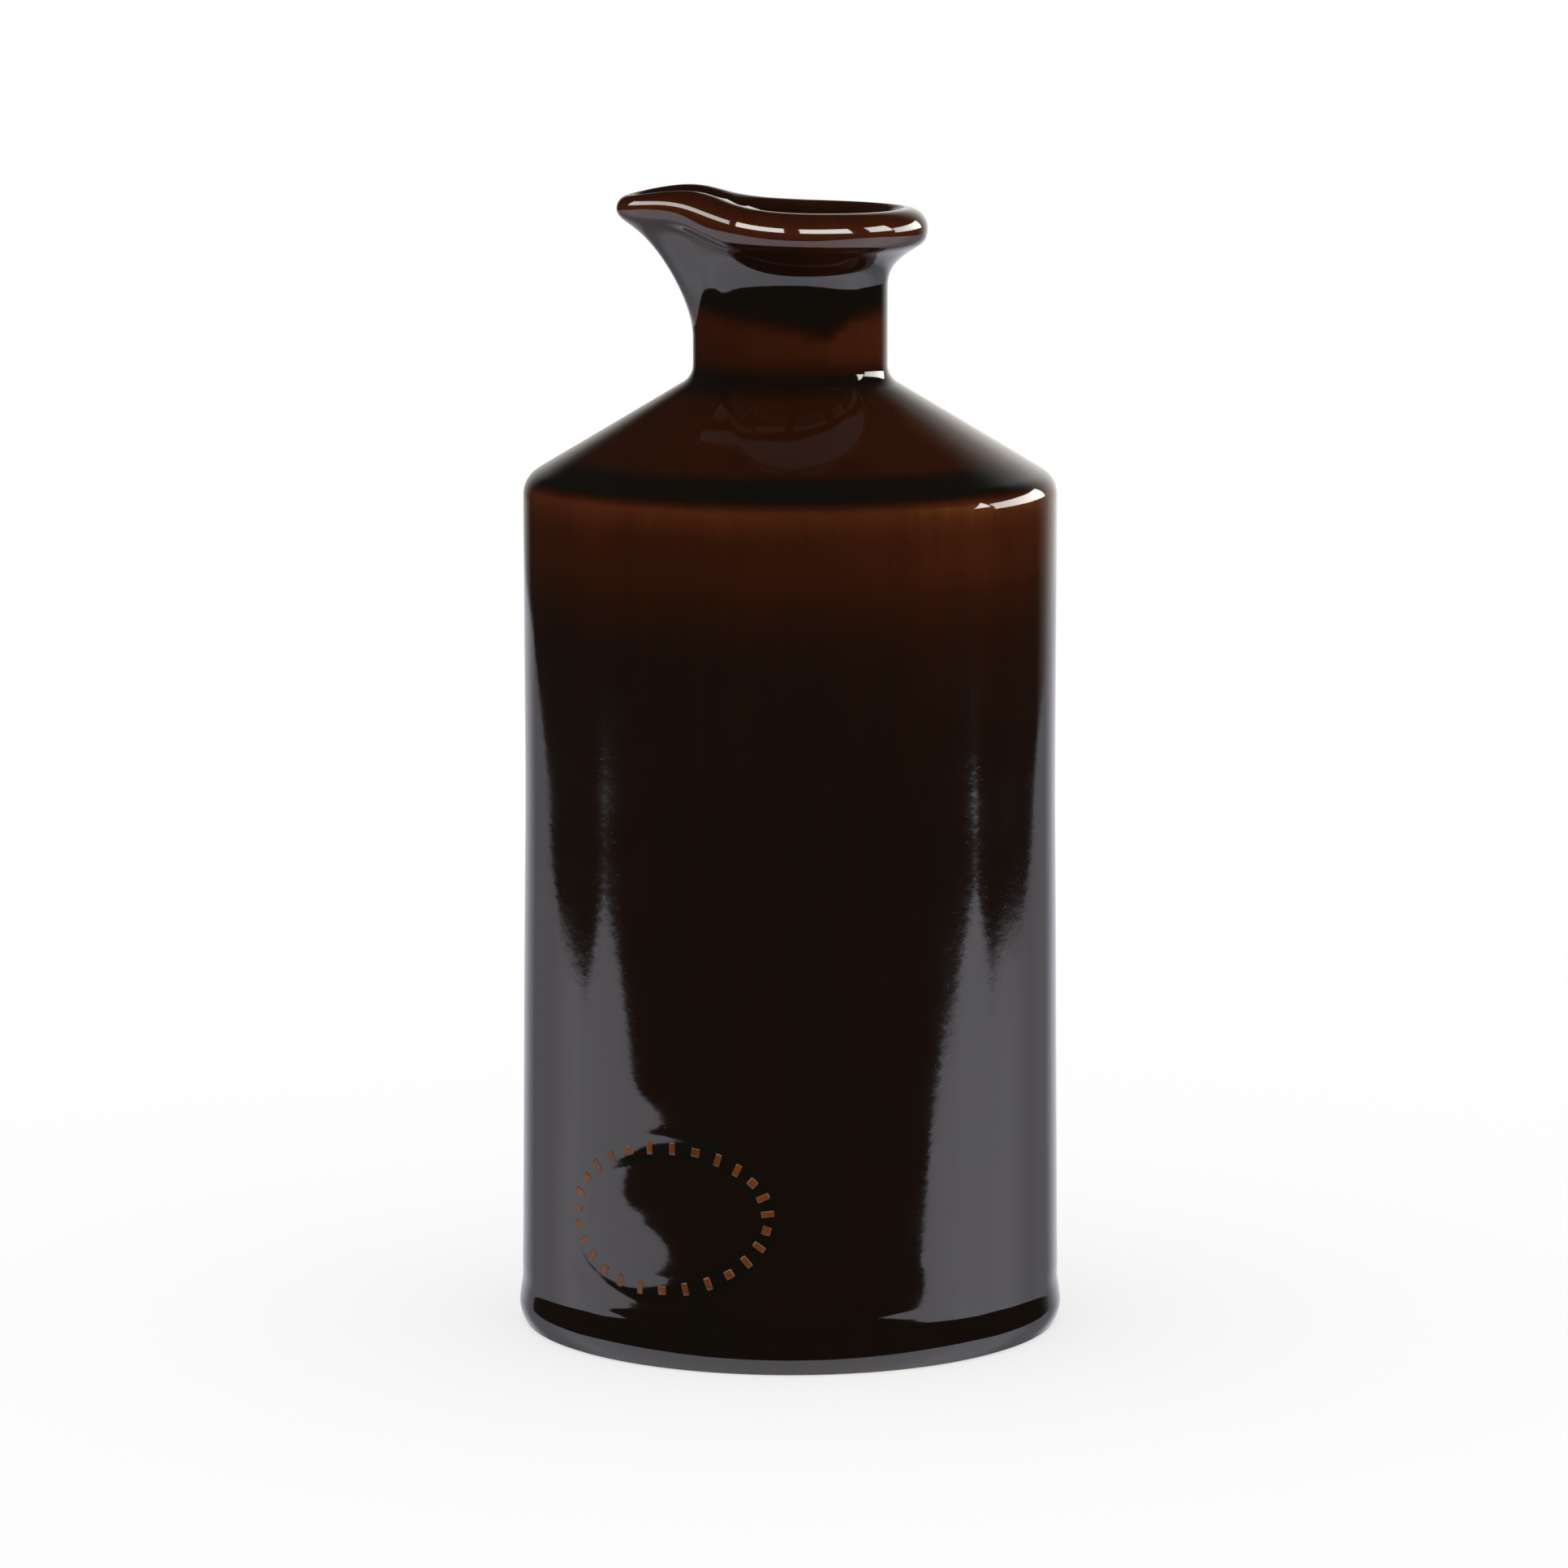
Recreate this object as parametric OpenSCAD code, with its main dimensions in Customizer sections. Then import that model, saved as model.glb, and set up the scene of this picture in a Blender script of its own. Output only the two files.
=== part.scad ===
// Pouring bottle in glazed stoneware, for a laundry or scullery shelf.
// Sizes are in millimetres. The axis is Z, the foot stands on z = 0, the spout points to -X
// and the oval seal is low on the front, turned from -Y towards the spout's side.
// The clay is laid out as a potter joins it: foot, base, wall, shoulder, neck and lip.
// The glaze is a thin coat of its own over the clay, outside, round the lip and inside.

/* [Body] */
// Radius of the body at its waist, where the wall is slimmest
body_r = 50.35; // [46:0.05:56]
// Height of the waist
waist_z = 100; // [60:1:130]
// How far the ankle stands out beyond the waist
ankle_flare = 0.85; // [0.4:0.05:1.5]
// Height of the ankle, where the flare of the heel ends
ankle_z = 13; // [10:0.5:16]
// How far the heel, the widest line just above the foot, stands out beyond the waist
heel_flare = 1.85; // [1.6:0.05:3]
// Height of the heel
heel_z = 2; // [1.5:0.1:2.8]
// Rounding of the heel
heel_round = 2; // [0.8:0.1:2.2]
// How far the foot, where it meets the table, stands out beyond the waist
foot_flare = 0.55; // [-0.5:0.05:1.2]
// Height of the shoulder corner before it is rounded
shoulder_z = 161.4; // [145:0.1:240]
// Rounding of the shoulder corner
shoulder_round = 5; // [2:0.1:8]
// Rise of the shoulder cone, in degrees above level
cone_angle = 31; // [26:0.5:36]

/* [Neck] */
// Radius of the bore, glaze included, where a cork would sit
bore_r = 12.5; // [10:0.1:15]
// Thickness of the neck, glaze included
neck_t = 5.85; // [4.5:0.05:7]
// Length of the neck from the top of the cone to the joint of the lip
neck_length = 7.6; // [6:0.1:20]
// Rounding between shoulder cone and neck
neck_fillet = 4; // [2.5:0.1:6]

/* [Pouring lip] */
// How far the crest line of the rim stands out beyond the neck, away from the spout
rim_flare = 4.8; // [3.5:0.05:7]
// Height of the rim above the joint of the lip
rim_rise = 24.7; // [22:0.1:30]
// Radius of the rounded edge of the rim
rim_edge_r = 2.85; // [2.3:0.05:3.1]
// Radius of the rounded edge at the tip of the spout
spout_edge_r = 2.55; // [2.2:0.05:3.1]
// How far the spout is pulled out beyond the round rim
spout_reach = 7.0; // [4:0.1:9]
// Half angle over which the spout is pulled out
spout_spread = 21.5; // [17:0.5:26]
// How far the rim is pressed in beside the spout
pinch_depth = 1.65; // [0:0.05:2]
// Angle between the spout and the pressed places
pinch_angle = 48; // [40:1:60]
// Half angle of each pressed place
pinch_spread = 24; // [18:1:28]
// How far the rim is lifted towards the spout
lift = 6.95; // [5:0.05:8]
// Half angle over which the rim is lifted
lift_spread = 50; // [40:1:60]
// How far the very tip of the spout is turned down again
tip_drop = 4.6; // [3:0.1:5]
// Half angle over which the tip is turned down
tip_spread = 25.5; // [20:0.5:30]

/* [Walls] */
// Thickness of the wall at the waist, glaze included
wall_t = 5.2; // [4.5:0.1:7]
// Thickness of the shoulder, square to the cone
shoulder_t = 5; // [4:0.1:7]
// Height of the floor inside, glaze included
floor_z = 8; // [7:0.1:14]
// Rounding between floor and wall inside
floor_round = 5; // [3:0.1:10]
// Rounding under the shoulder inside
under_shoulder_round = 6; // [3:0.1:12]
// Height of the standing ring under the base
foot_h = 3.2; // [3:0.1:4.2]
// Rounding where the bore opens into the body
bore_round = 1; // [0.5:0.1:2.5]
// Width of the standing ring
foot_w = 10.5; // [7:0.1:16]
// How far the base is turned out inside the standing ring
foot_recess = 1.4; // [0.6:0.1:2.4]

/* [Glaze] */
// Thickness of the glaze
glaze_t = 0.5; // [0.35:0.05:0.7]
// Height at which the glaze was wiped off above the table
glaze_line_z = 0.9; // [0.6:0.1:1.3]

/* [Seal] */
// Turn of the seal from the front towards the spout, in degrees
seal_turn = 28; // [0:1:60]
// Height of the middle of the seal
seal_z = 28.3; // [26:0.1:60]
// Half width of the ring of marks, measured along the wall
seal_half_w = 20.9; // [16:0.1:24]
// Half height of the ring of marks
seal_half_h = 13.4; // [10:0.1:14]
// Width of the pressed band that holds the marks
seal_band_w = 4.6; // [3.6:0.1:5.2]
// Tilt of the seal, in degrees
seal_tilt = 6; // [-10:0.5:10]
// Depth to which the band is pressed into the clay
seal_depth = 0.9; // [0.6:0.05:1.4]
// How far the glaze dips over the band
seal_glaze_dip = 0.35; // [0.1:0.05:0.4]
// Number of marks in the ring
mark_count = 27; // [12:3:30]
// Length of a bar mark, across the band
mark_length = 2.9; // [2:0.1:3.2]
// Width of a bar mark
mark_width = 1.1; // [0.7:0.1:1.5]
// Radius of a dot mark
dot_r = 0.85; // [0.6:0.05:1]

/* [Hidden] */

$fn = 96;
clay_colour = "Sienna";
bare_clay_colour = "Tan";
glaze_colour = "SaddleBrown";
mark_colour = "Chocolate";

// Steps in a rounded corner, and sectors and steps round the lip
corner_steps = 8;
lip_sectors = 60;
neck_steps = 6;
flare_steps = 5;
edge_steps = 7;
throat_steps = 6;

// Section of the lip, each value as [at the round rim, at the spout].
// Slope of the flare where it turns from hollow to full, in degrees above level
flare_slope = [36, 38];
// How far that place lies below the middle of the rounded edge, and how far inside it
flare_drop = [6.1, 3.8];
flare_inset = 1;
// How far the straight neck, the flare and the edge pull on the curves between them
neck_pull = [12.5, 6];
flare_pull = [3.2, 6.5];
flare_run = 2.6;
edge_pull = [2.9, 1.6];
// Turn of the rounded edge from its outside to where the throat begins, in degrees
edge_sweep = [180, 125];
// How far the edge and the bore pull on the throat, and where the bore ends above the joint
throat_pull = [4.3, 12];
bore_pull = [8, 4];
throat_rise = 7;
// Share of the spout's half angle over which the section changes
section_spread = 1.6 * spout_spread;
// Points round the outline of the seal
seal_sides = 60;
// Clearance of cutting shapes past the solids that they cut
over = 5;

// Radii that follow from the body and the bore
foot_r = body_r + foot_flare;
heel_r = body_r + heel_flare;
ankle_r = body_r + ankle_flare;
inside_r = body_r - wall_t;
neck_r = bore_r + neck_t;
rim_r = neck_r + rim_flare;

// Where the shoulder cone meets the neck, and the joints between the clay sections
neck_z = shoulder_z + (body_r - neck_r) * tan(cone_angle);
lip_joint_z = neck_z + neck_length;
wall_joint_z = shoulder_z - shoulder_round - 1;
// Drop from the outside of the shoulder cone to its inside
cone_drop = shoulder_t / cos(cone_angle);

function cone_inside_z(r) = shoulder_z + (body_r - r) * tan(cone_angle) - cone_drop;

neck_joint_z = cone_inside_z(bore_r);
// Corner radius of the lip's bore, whose flats then touch the round bore below it
throat_r = bore_r / cos(180 / lip_sectors);

// Corners as [radius, height, rounding], from the table up, measured on the glaze outside
outer_corners = [
    [foot_r, 0, 0],
    [heel_r, heel_z, heel_round],
    [ankle_r, ankle_z, 0],
    [body_r, waist_z, 0],
    [body_r, shoulder_z, shoulder_round],
    [neck_r, neck_z, neck_fillet],
    [neck_r, lip_joint_z, 0]
];

// The same for the glaze inside, from the middle of the floor to the joint of the lip
inner_corners = [
    [0, floor_z, 0],
    [inside_r, floor_z, floor_round],
    [inside_r, cone_inside_z(inside_r), under_shoulder_round],
    [bore_r, neck_joint_z, bore_round],
    [bore_r, lip_joint_z, 0]
];

function unit(v) = v / norm(v);
function point(corner) = [corner[0], corner[1]];
function left_of(d) = [-d[1], d[0]];
function cross_2d(a, b) = a[0] * b[1] - a[1] * b[0];
function mix(a, b, share) = a + (b - a) * share;
function at_share(pair, share) = mix(pair[0], pair[1], share);
function bump(x, spread) = exp(-pow(x / spread, 2));

// The outline moved by a distance to its left, which is into the wall outside and off it inside.
// Rounded corners that turn left get tighter, and the two ends stay on their own level.
function shifted_end(p, d, t) =
    let (q = p + left_of(d) * t)
    abs(d[1]) < 0.01 ? q : q + d * (p[1] - q[1]) / d[1];

function shifted_corner(a, b, c, t) =
    let (
        d1 = unit(point(b) - point(a)),
        d2 = unit(point(c) - point(b)),
        turn = cross_2d(d1, d2),
        p1 = point(b) + left_of(d1) * t,
        p2 = point(b) + left_of(d2) * t,
        q = p1 + d1 * cross_2d(p2 - p1, d2) / turn,
        round_r = b[2] == 0 ? 0 : b[2] - sign(turn) * t
    )
    [q[0], q[1], round_r];

function shifted(corners, t) =
    let (last = len(corners) - 1)
    [for (i = [0:last])
        i == 0
            ? concat(shifted_end(point(corners[0]), unit(point(corners[1]) - point(corners[0])), t), [0])
        : i == last
            ? concat(shifted_end(point(corners[last]),
                                 unit(point(corners[last]) - point(corners[last - 1])), t), [0])
        : shifted_corner(corners[i - 1], corners[i], corners[i + 1], t)];

// Points of one rounded corner between its two neighbours
function corner_arc(a, b, c, r) =
    let (
        u = unit(a - b),
        v = unit(c - b),
        half = acos(u * v) / 2,
        centre = b + unit(u + v) * r / sin(half),
        first = b + u * r / tan(half) - centre,
        sweep = (180 - 2 * half) * sign(cross_2d(b - a, c - b)),
        start = atan2(first[1], first[0])
    )
    [for (i = [0:corner_steps])
        let (angle = start + sweep * i / corner_steps)
        centre + r * [cos(angle), sin(angle)]];

function rounded(corners) = [
    for (i = [0:len(corners) - 1])
        let (r = corners[i][2])
        each r == 0
            ? [point(corners[i])]
            : corner_arc(point(corners[i - 1]), point(corners[i]), point(corners[i + 1]), r)
];

// Everything inside the outside of the bottle, taken in by a distance
module outer_form(inset) {
    rotate_extrude()
        polygon(concat([[0, 0]], rounded(shifted(outer_corners, inset)), [[0, lip_joint_z]]));
}

// The space inside the clay, up to the joint of the lip
module clay_cavity() {
    rotate_extrude()
        polygon(concat(rounded(shifted(inner_corners, -glaze_t)), [[0, lip_joint_z]]));
}

module slab(low, high) {
    translate([0, 0, low])
        cylinder(r = heel_r + over, h = high - low);
}

// The thrown clay between two levels
module clay_between(low, high) {
    intersection() {
        difference() {
            outer_form(glaze_t);
            clay_cavity();
        }
        slab(low, high);
    }
}

// The disc that closes the bottom, seated inside the standing ring and inside the wall
module base_blank() {
    ring_inside_r = foot_r - foot_w;
    translate([0, 0, foot_recess])
        cylinder(r = ring_inside_r, h = foot_h - foot_recess);
    translate([0, 0, foot_h])
        cylinder(r = inside_r + glaze_t, h = floor_z - glaze_t - foot_h);
}

module foot_ring() {
    color(bare_clay_colour)
        difference() {
            clay_between(0, foot_h);
            translate([0, 0, -over])
                cylinder(r = foot_r - foot_w, h = foot_h + 2 * over);
        }
}

module base_disc() {
    color(bare_clay_colour)
        base_blank();
}

// Place on the wall of a point of the seal, given along the wall and up it from its middle
function seal_tilted(along, up) = [
    along * cos(seal_tilt) - up * sin(seal_tilt),
    along * sin(seal_tilt) + up * cos(seal_tilt)
];
function seal_point(half_w, half_h, angle) = seal_tilted(half_w * cos(angle), half_h * sin(angle));

// Angle round the bottle of a distance along the wall
function wrap_angle(along) = along / ankle_r * 180 / PI;

// Oval prism that points out of the bottle, its outline wrapped on the wall
module seal_prism(grow) {
    outline = [for (i = [0:seal_sides - 1])
        let (p = seal_point(seal_half_w + grow, seal_half_h + grow, 360 * i / seal_sides))
        [ankle_r * sin(wrap_angle(p[0])), p[1]]];
    rotate([0, 0, -seal_turn])
        translate([0, 0, seal_z])
            rotate([90, 0, 0])
                linear_extrude(heel_r + over)
                    polygon(outline);
}

// The pressed band, down to a depth below the outside of the glaze
module seal_band(depth) {
    difference() {
        seal_prism(seal_band_w / 2);
        seal_prism(-seal_band_w / 2);
        outer_form(depth);
    }
}

module body_wall() {
    color(clay_colour)
        difference() {
            clay_between(foot_h, wall_joint_z);
            base_blank();
            seal_band(glaze_t + seal_depth);
        }
}

// Raised marks in the pressed band: two plain bars and a dot, over and over
module seal_mark_blanks() {
    for (i = [0:mark_count - 1]) {
        angle = 360 * i / mark_count;
        p = seal_point(seal_half_w, seal_half_h, angle);
        outward = atan2(sin(angle) / seal_half_h, cos(angle) / seal_half_w);
        rotate([0, 0, -90 - seal_turn + wrap_angle(p[0])])
            translate([0, 0, seal_z + p[1]])
                rotate([90, seal_tilt + outward, 90])
                    if (i % 3 == 2)
                        cylinder(r = dot_r, h = heel_r + over, $fn = 24);
                    else
                        translate([-mark_length / 2, -mark_width / 2, 0])
                            cube([mark_length, mark_width, heel_r + over]);
    }
}

module seal_marks() {
    color(mark_colour)
        intersection() {
            seal_mark_blanks();
            difference() {
                outer_form(0);
                outer_form(glaze_t + seal_depth);
            }
        }
}

module shoulder() {
    color(clay_colour)
        clay_between(wall_joint_z, neck_joint_z);
}

module neck() {
    color(clay_colour)
        clay_between(neck_joint_z, lip_joint_z);
}

// Crest of the rim, by the angle from the spout: its radius and the height of its top
function crest_r(angle) =
    rim_r
    + spout_reach * bump(angle, spout_spread)
    - pinch_depth * bump(angle - pinch_angle, pinch_spread);
function crest_z(angle) =
    lip_joint_z + rim_rise
    + lift * bump(angle, lift_spread)
    - tip_drop * bump(angle, tip_spread);

function bezier(p, t) =
    pow(1 - t, 3) * p[0] + 3 * t * pow(1 - t, 2) * p[1] + 3 * t * t * (1 - t) * p[2] + t * t * t * p[3];
function bezier_way(p, t) =
    unit(pow(1 - t, 2) * (p[1] - p[0]) + 2 * t * (1 - t) * (p[2] - p[1]) + t * t * (p[3] - p[2]));

// Points along a curve with the direction square to it, which points out of the wall.
// The curve starts with a direction of its own, so its first point is left to the piece before.
function curve_points(p, steps) =
    [for (i = [1:steps])
        let (t = i / steps, way = bezier_way(p, t))
        [bezier(p, t), [way[1], -way[0]]]];

// Section of the lip at an angle from the spout, from the joint outside, up over the rim and
// down inside to the joint again. The spout's share is 1 at the spout and fades out beside it.
function lip_section(angle) =
    let (
        share = bump(angle, section_spread),
        edge_r = mix(rim_edge_r, spout_edge_r, share),
        centre = [crest_r(angle), crest_z(angle) - edge_r],
        slope = at_share(flare_slope, share),
        along = [cos(slope), sin(slope)],
        turn_in = centre - [flare_inset, at_share(flare_drop, share)],
        foot = [neck_r, lip_joint_z],
        neck_side = [
            foot,
            foot + [0, at_share(neck_pull, share)],
            turn_in - along * at_share(flare_pull, share),
            turn_in
        ],
        flare = [
            turn_in,
            turn_in + along * flare_run,
            centre + [edge_r, -at_share(edge_pull, share)],
            centre + [edge_r, 0]
        ],
        sweep = at_share(edge_sweep, share),
        edge_end = centre + edge_r * [cos(sweep), sin(sweep)],
        throat_end = [throat_r, lip_joint_z + throat_rise],
        throat = [
            edge_end,
            edge_end + [-sin(sweep), cos(sweep)] * at_share(throat_pull, share),
            throat_end + [0, at_share(bore_pull, share)],
            throat_end
        ]
    )
    concat(
        [[foot, [1, 0]]],
        curve_points(neck_side, neck_steps),
        curve_points(flare, flare_steps),
        [for (i = [1:edge_steps])
            let (a = sweep * i / edge_steps, out = [cos(a), sin(a)])
            [centre + edge_r * out, out]],
        curve_points(throat, throat_steps),
        [[[throat_r, lip_joint_z], [-1, 0]]]
    );

// A section's points, taken in by a distance square to the surface
function inset_section(section, inset) = [for (s = section) s[0] - s[1] * inset];

function reversed(list) = [for (i = [len(list) - 1:-1:0]) list[i]];
function turned(p, heading) = [p[0] * cos(heading), p[0] * sin(heading), p[1]];
function spout_angle(i) = 180 - abs(360 * i / lip_sectors - 180);

// Closed ring of sections. The faces of a section's second half are split the other way, so
// that two rings that share a surface share its triangles too.
module section_ring(sections, half) {
    n = len(sections[0]);
    points = [for (i = [0:lip_sectors - 1]) for (p = sections[i]) turned(p, 180 + 360 * i / lip_sectors)];
    faces = [
        for (i = [0:lip_sectors - 1]) for (j = [0:n - 1])
            let (
                a = i * n + j,
                b = i * n + (j + 1) % n,
                c = (i + 1) % lip_sectors * n + (j + 1) % n,
                d = (i + 1) % lip_sectors * n + j
            )
            each j < half ? [[a, b, c], [a, c, d]] : [[a, b, d], [b, c, d]]
    ];
    polyhedron(points, faces);
}

lip_sections = [for (i = [0:lip_sectors - 1]) lip_section(spout_angle(i))];

module pouring_lip() {
    clay = [for (s = lip_sections) inset_section(s, glaze_t)];
    color(clay_colour)
        section_ring(clay, len(clay[0]));
}

module lip_glaze() {
    coat = [for (s = lip_sections)
        concat(inset_section(s, 0), reversed(inset_section(s, glaze_t)))];
    color(glaze_colour)
        section_ring(coat, len(lip_sections[0]));
}

// The coat outside: it fills the pressed band round the marks and dips a little over it
module outer_glaze() {
    color(glaze_colour)
        difference() {
            intersection() {
                outer_form(0);
                slab(glaze_line_z, lip_joint_z);
            }
            seal_band(seal_glaze_dip);
            difference() {
                outer_form(glaze_t);
                seal_band(glaze_t + seal_depth);
            }
            seal_mark_blanks();
        }
}

module inner_glaze() {
    color(glaze_colour)
        rotate_extrude()
            polygon(concat(rounded(shifted(inner_corners, -glaze_t)), reversed(rounded(inner_corners))));
}

foot_ring();
base_disc();
body_wall();
seal_marks();
shoulder();
neck();
pouring_lip();
outer_glaze();
lip_glaze();
inner_glaze();
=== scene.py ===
"""Looks of a glazed stoneware pouring bottle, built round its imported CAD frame.

Shapes are worked out in millimetres and become metres when a mesh is made. The foot stands on
z = 0, the spout points to -X, and the oval seal is low on the front, turned from -Y to the spout.
"""

import logging
import math
from dataclasses import dataclass, field
from enum import Enum
from typing import Callable, Dict, List, Optional, Sequence, Tuple, Union

import bpy
import numpy as np
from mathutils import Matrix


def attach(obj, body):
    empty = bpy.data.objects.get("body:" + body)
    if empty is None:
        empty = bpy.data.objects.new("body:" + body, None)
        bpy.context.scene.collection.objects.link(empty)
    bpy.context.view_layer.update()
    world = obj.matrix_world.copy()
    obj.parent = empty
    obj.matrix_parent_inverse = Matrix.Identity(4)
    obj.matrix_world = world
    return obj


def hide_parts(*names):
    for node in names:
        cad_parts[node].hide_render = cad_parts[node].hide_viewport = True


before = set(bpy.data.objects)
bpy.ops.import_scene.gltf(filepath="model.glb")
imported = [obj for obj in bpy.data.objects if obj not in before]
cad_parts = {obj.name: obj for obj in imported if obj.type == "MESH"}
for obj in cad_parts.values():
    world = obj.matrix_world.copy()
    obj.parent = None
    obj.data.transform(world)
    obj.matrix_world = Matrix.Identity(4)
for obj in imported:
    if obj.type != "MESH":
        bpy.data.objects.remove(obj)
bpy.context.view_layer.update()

LOG = logging.getLogger("bottle")
MM = 0.001
BODY = "root"
POOL = "glaze_pool"
HAND = "hand_made"

Pairs = Tuple[Tuple[float, float], ...]
Colour = Tuple[float, float, float]
Feed = Union[float, Sequence[float], bpy.types.NodeSocket]


class Slot(Enum):
    """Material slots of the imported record."""

    BARE_CLAY = "bare_clay"
    CLAY_BODY = "clay_body"
    THIN_GLAZE = "thin_glaze"
    BROWN_GLAZE = "brown_glaze"
    INNER_GLAZE = "inner_glaze"


def bump(x: np.ndarray, spread: float) -> np.ndarray:
    """A soft bell that is 1 where x is 0."""
    return np.exp(-((x / spread) ** 2))


def mix(pair: Tuple[float, float], share: np.ndarray) -> np.ndarray:
    """The pair's first value at share 0 and its second at share 1."""
    return pair[0] + (pair[1] - pair[0]) * share


def smooth_step(x: np.ndarray, low: float, high: float) -> np.ndarray:
    """Rises softly from 0 at low to 1 at high."""
    t = np.clip((x - low) / (high - low), 0, 1)
    return t * t * (3 - 2 * t)


def between(pairs: Pairs, x: np.ndarray) -> np.ndarray:
    """Straight lines through pairs of x and value."""
    return np.interp(x, [p[0] for p in pairs], [p[1] for p in pairs])


@dataclass(frozen=True)
class BottleSizes:
    """Sizes of the bottle in millimetres and degrees, as in CAD but for a sharper ankle."""

    body_r: float = 50.35
    waist_z: float = 100
    wrap_r: float = 51.2
    ankle_r: float = 51.34
    ankle_z: float = 8
    heel_r: float = 52.12
    heel_z: float = 2.7
    heel_round: float = 6
    foot_r: float = 50.9
    shoulder_z: float = 161.4
    shoulder_round: float = 5
    cone_angle: float = 31
    bore_r: float = 12.5
    neck_r: float = 18.35
    neck_length: float = 7.6
    neck_fillet: float = 4
    glaze_t: float = 0.5
    glaze_line_z: float = 0.3
    wall_t: float = 5.2
    shoulder_t: float = 5
    floor_z: float = 8
    floor_round: float = 5
    under_shoulder_round: float = 6
    bore_round: float = 1

    @property
    def cone_rise(self) -> float:
        """Rise of the shoulder cone over its run."""
        return math.tan(math.radians(self.cone_angle))

    @property
    def neck_z(self) -> float:
        """Height at which the shoulder cone meets the neck."""
        return self.shoulder_z + (self.body_r - self.neck_r) * self.cone_rise

    @property
    def lip_joint_z(self) -> float:
        """Height of the joint between neck and lip."""
        return self.neck_z + self.neck_length

    def cone_inside_z(self, r: float) -> float:
        """Height of the inside of the shoulder cone at a radius."""
        drop = self.shoulder_t / math.cos(math.radians(self.cone_angle))
        return self.shoulder_z + (self.body_r - r) * self.cone_rise - drop


SIZES = BottleSizes()


class Outline:
    """An outline in radius and height, with its corners rounded."""

    ARC_STEPS = 32
    COARSE = 0.1
    FINE = 0.02

    def __init__(self, corners: Sequence[Tuple[float, float, float]]) -> None:
        """Rounds the corners.

        Args:
            corners: Radius, height and rounding of each corner in order.
        """
        points: List[np.ndarray] = []
        for i, (r, z, rounding) in enumerate(corners):
            here = np.array([r, z], float)
            if rounding == 0:
                points.append(here)
            else:
                before = np.array(corners[i - 1][:2], float)
                after = np.array(corners[i + 1][:2], float)
                points.extend(self._arc(before, here, after, rounding))
        self.points = np.array(points)

    @classmethod
    def _arc(cls, a: np.ndarray, b: np.ndarray, c: np.ndarray, r: float) -> List[np.ndarray]:
        """Points of a rounded corner.

        Args:
            a: The corner before.
            b: The corner that is rounded.
            c: The corner after.
            r: Radius of the rounding.

        Returns:
            Points from the side of a to the side of c.
        """
        u = (a - b) / np.linalg.norm(a - b)
        v = (c - b) / np.linalg.norm(c - b)
        half = math.acos(float(u @ v)) / 2
        centre = b + (u + v) / np.linalg.norm(u + v) * r / math.sin(half)
        first = b + u * r / math.tan(half) - centre
        turn = (b - a)[0] * (c - b)[1] - (b - a)[1] * (c - b)[0]
        sweep = (math.pi - 2 * half) * math.copysign(1, turn)
        start = math.atan2(first[1], first[0])
        angles = start + sweep * np.linspace(0, 1, cls.ARC_STEPS)
        return [centre + r * np.array([math.cos(t), math.sin(t)]) for t in angles]

    def softened(self, spread: float, low: float, high: float) -> "Outline":
        """The outline with its faint corners worn soft between two heights.

        Args:
            spread: How far the softening reaches along the outline.
            low: Height from which the outline softens.
            high: Height up to which it softens.

        Returns:
            A new outline with the same ends.
        """
        fine = self.resampled(lambda z: np.full_like(z, self.COARSE))
        reach = int(3 * spread / self.COARSE)
        weights = bump(np.arange(-reach, reach + 1) * self.COARSE, spread)
        weights /= weights.sum()
        padded = np.pad(fine[:, 0], reach, mode="reflect", reflect_type="odd")
        soft = np.convolve(padded, weights, mode="valid")
        fade = 2 * spread
        share = smooth_step(fine[:, 1], low, low + fade)
        share *= 1 - smooth_step(fine[:, 1], high - fade, high)
        made = Outline([])
        made.points = np.column_stack([fine[:, 0] + (soft - fine[:, 0]) * share, fine[:, 1]])
        return made

    def resampled(self, spacing: Callable[[np.ndarray], np.ndarray]) -> np.ndarray:
        """Points along the outline, closer together where its shape needs them.

        Args:
            spacing: Function that gives the distance between points at given heights.

        Returns:
            Radius and height of each point, the two ends included.
        """
        steps = np.linalg.norm(np.diff(self.points, axis=0), axis=1)
        length = np.concatenate([[0], np.cumsum(steps)])
        fine = np.linspace(0, length[-1], int(length[-1] / self.FINE) + 2)
        r = np.interp(fine, length, self.points[:, 0])
        z = np.interp(fine, length, self.points[:, 1])
        density = 1 / spacing(z)
        amount = np.concatenate([[0], np.cumsum((density[1:] + density[:-1]) / 2 * np.diff(fine))])
        count = max(2, int(round(amount[-1])) + 1)
        places = np.interp(np.linspace(0, amount[-1], count), amount, fine)
        return np.column_stack([np.interp(places, fine, r), np.interp(places, fine, z)])


def outward(points: np.ndarray) -> np.ndarray:
    """Unit directions to the right of an outline's course, which is out of the wall outside."""
    way = np.gradient(points, axis=0)
    way /= np.linalg.norm(way, axis=1)[:, None]
    return np.column_stack([way[:, 1], -way[:, 0]])


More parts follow.
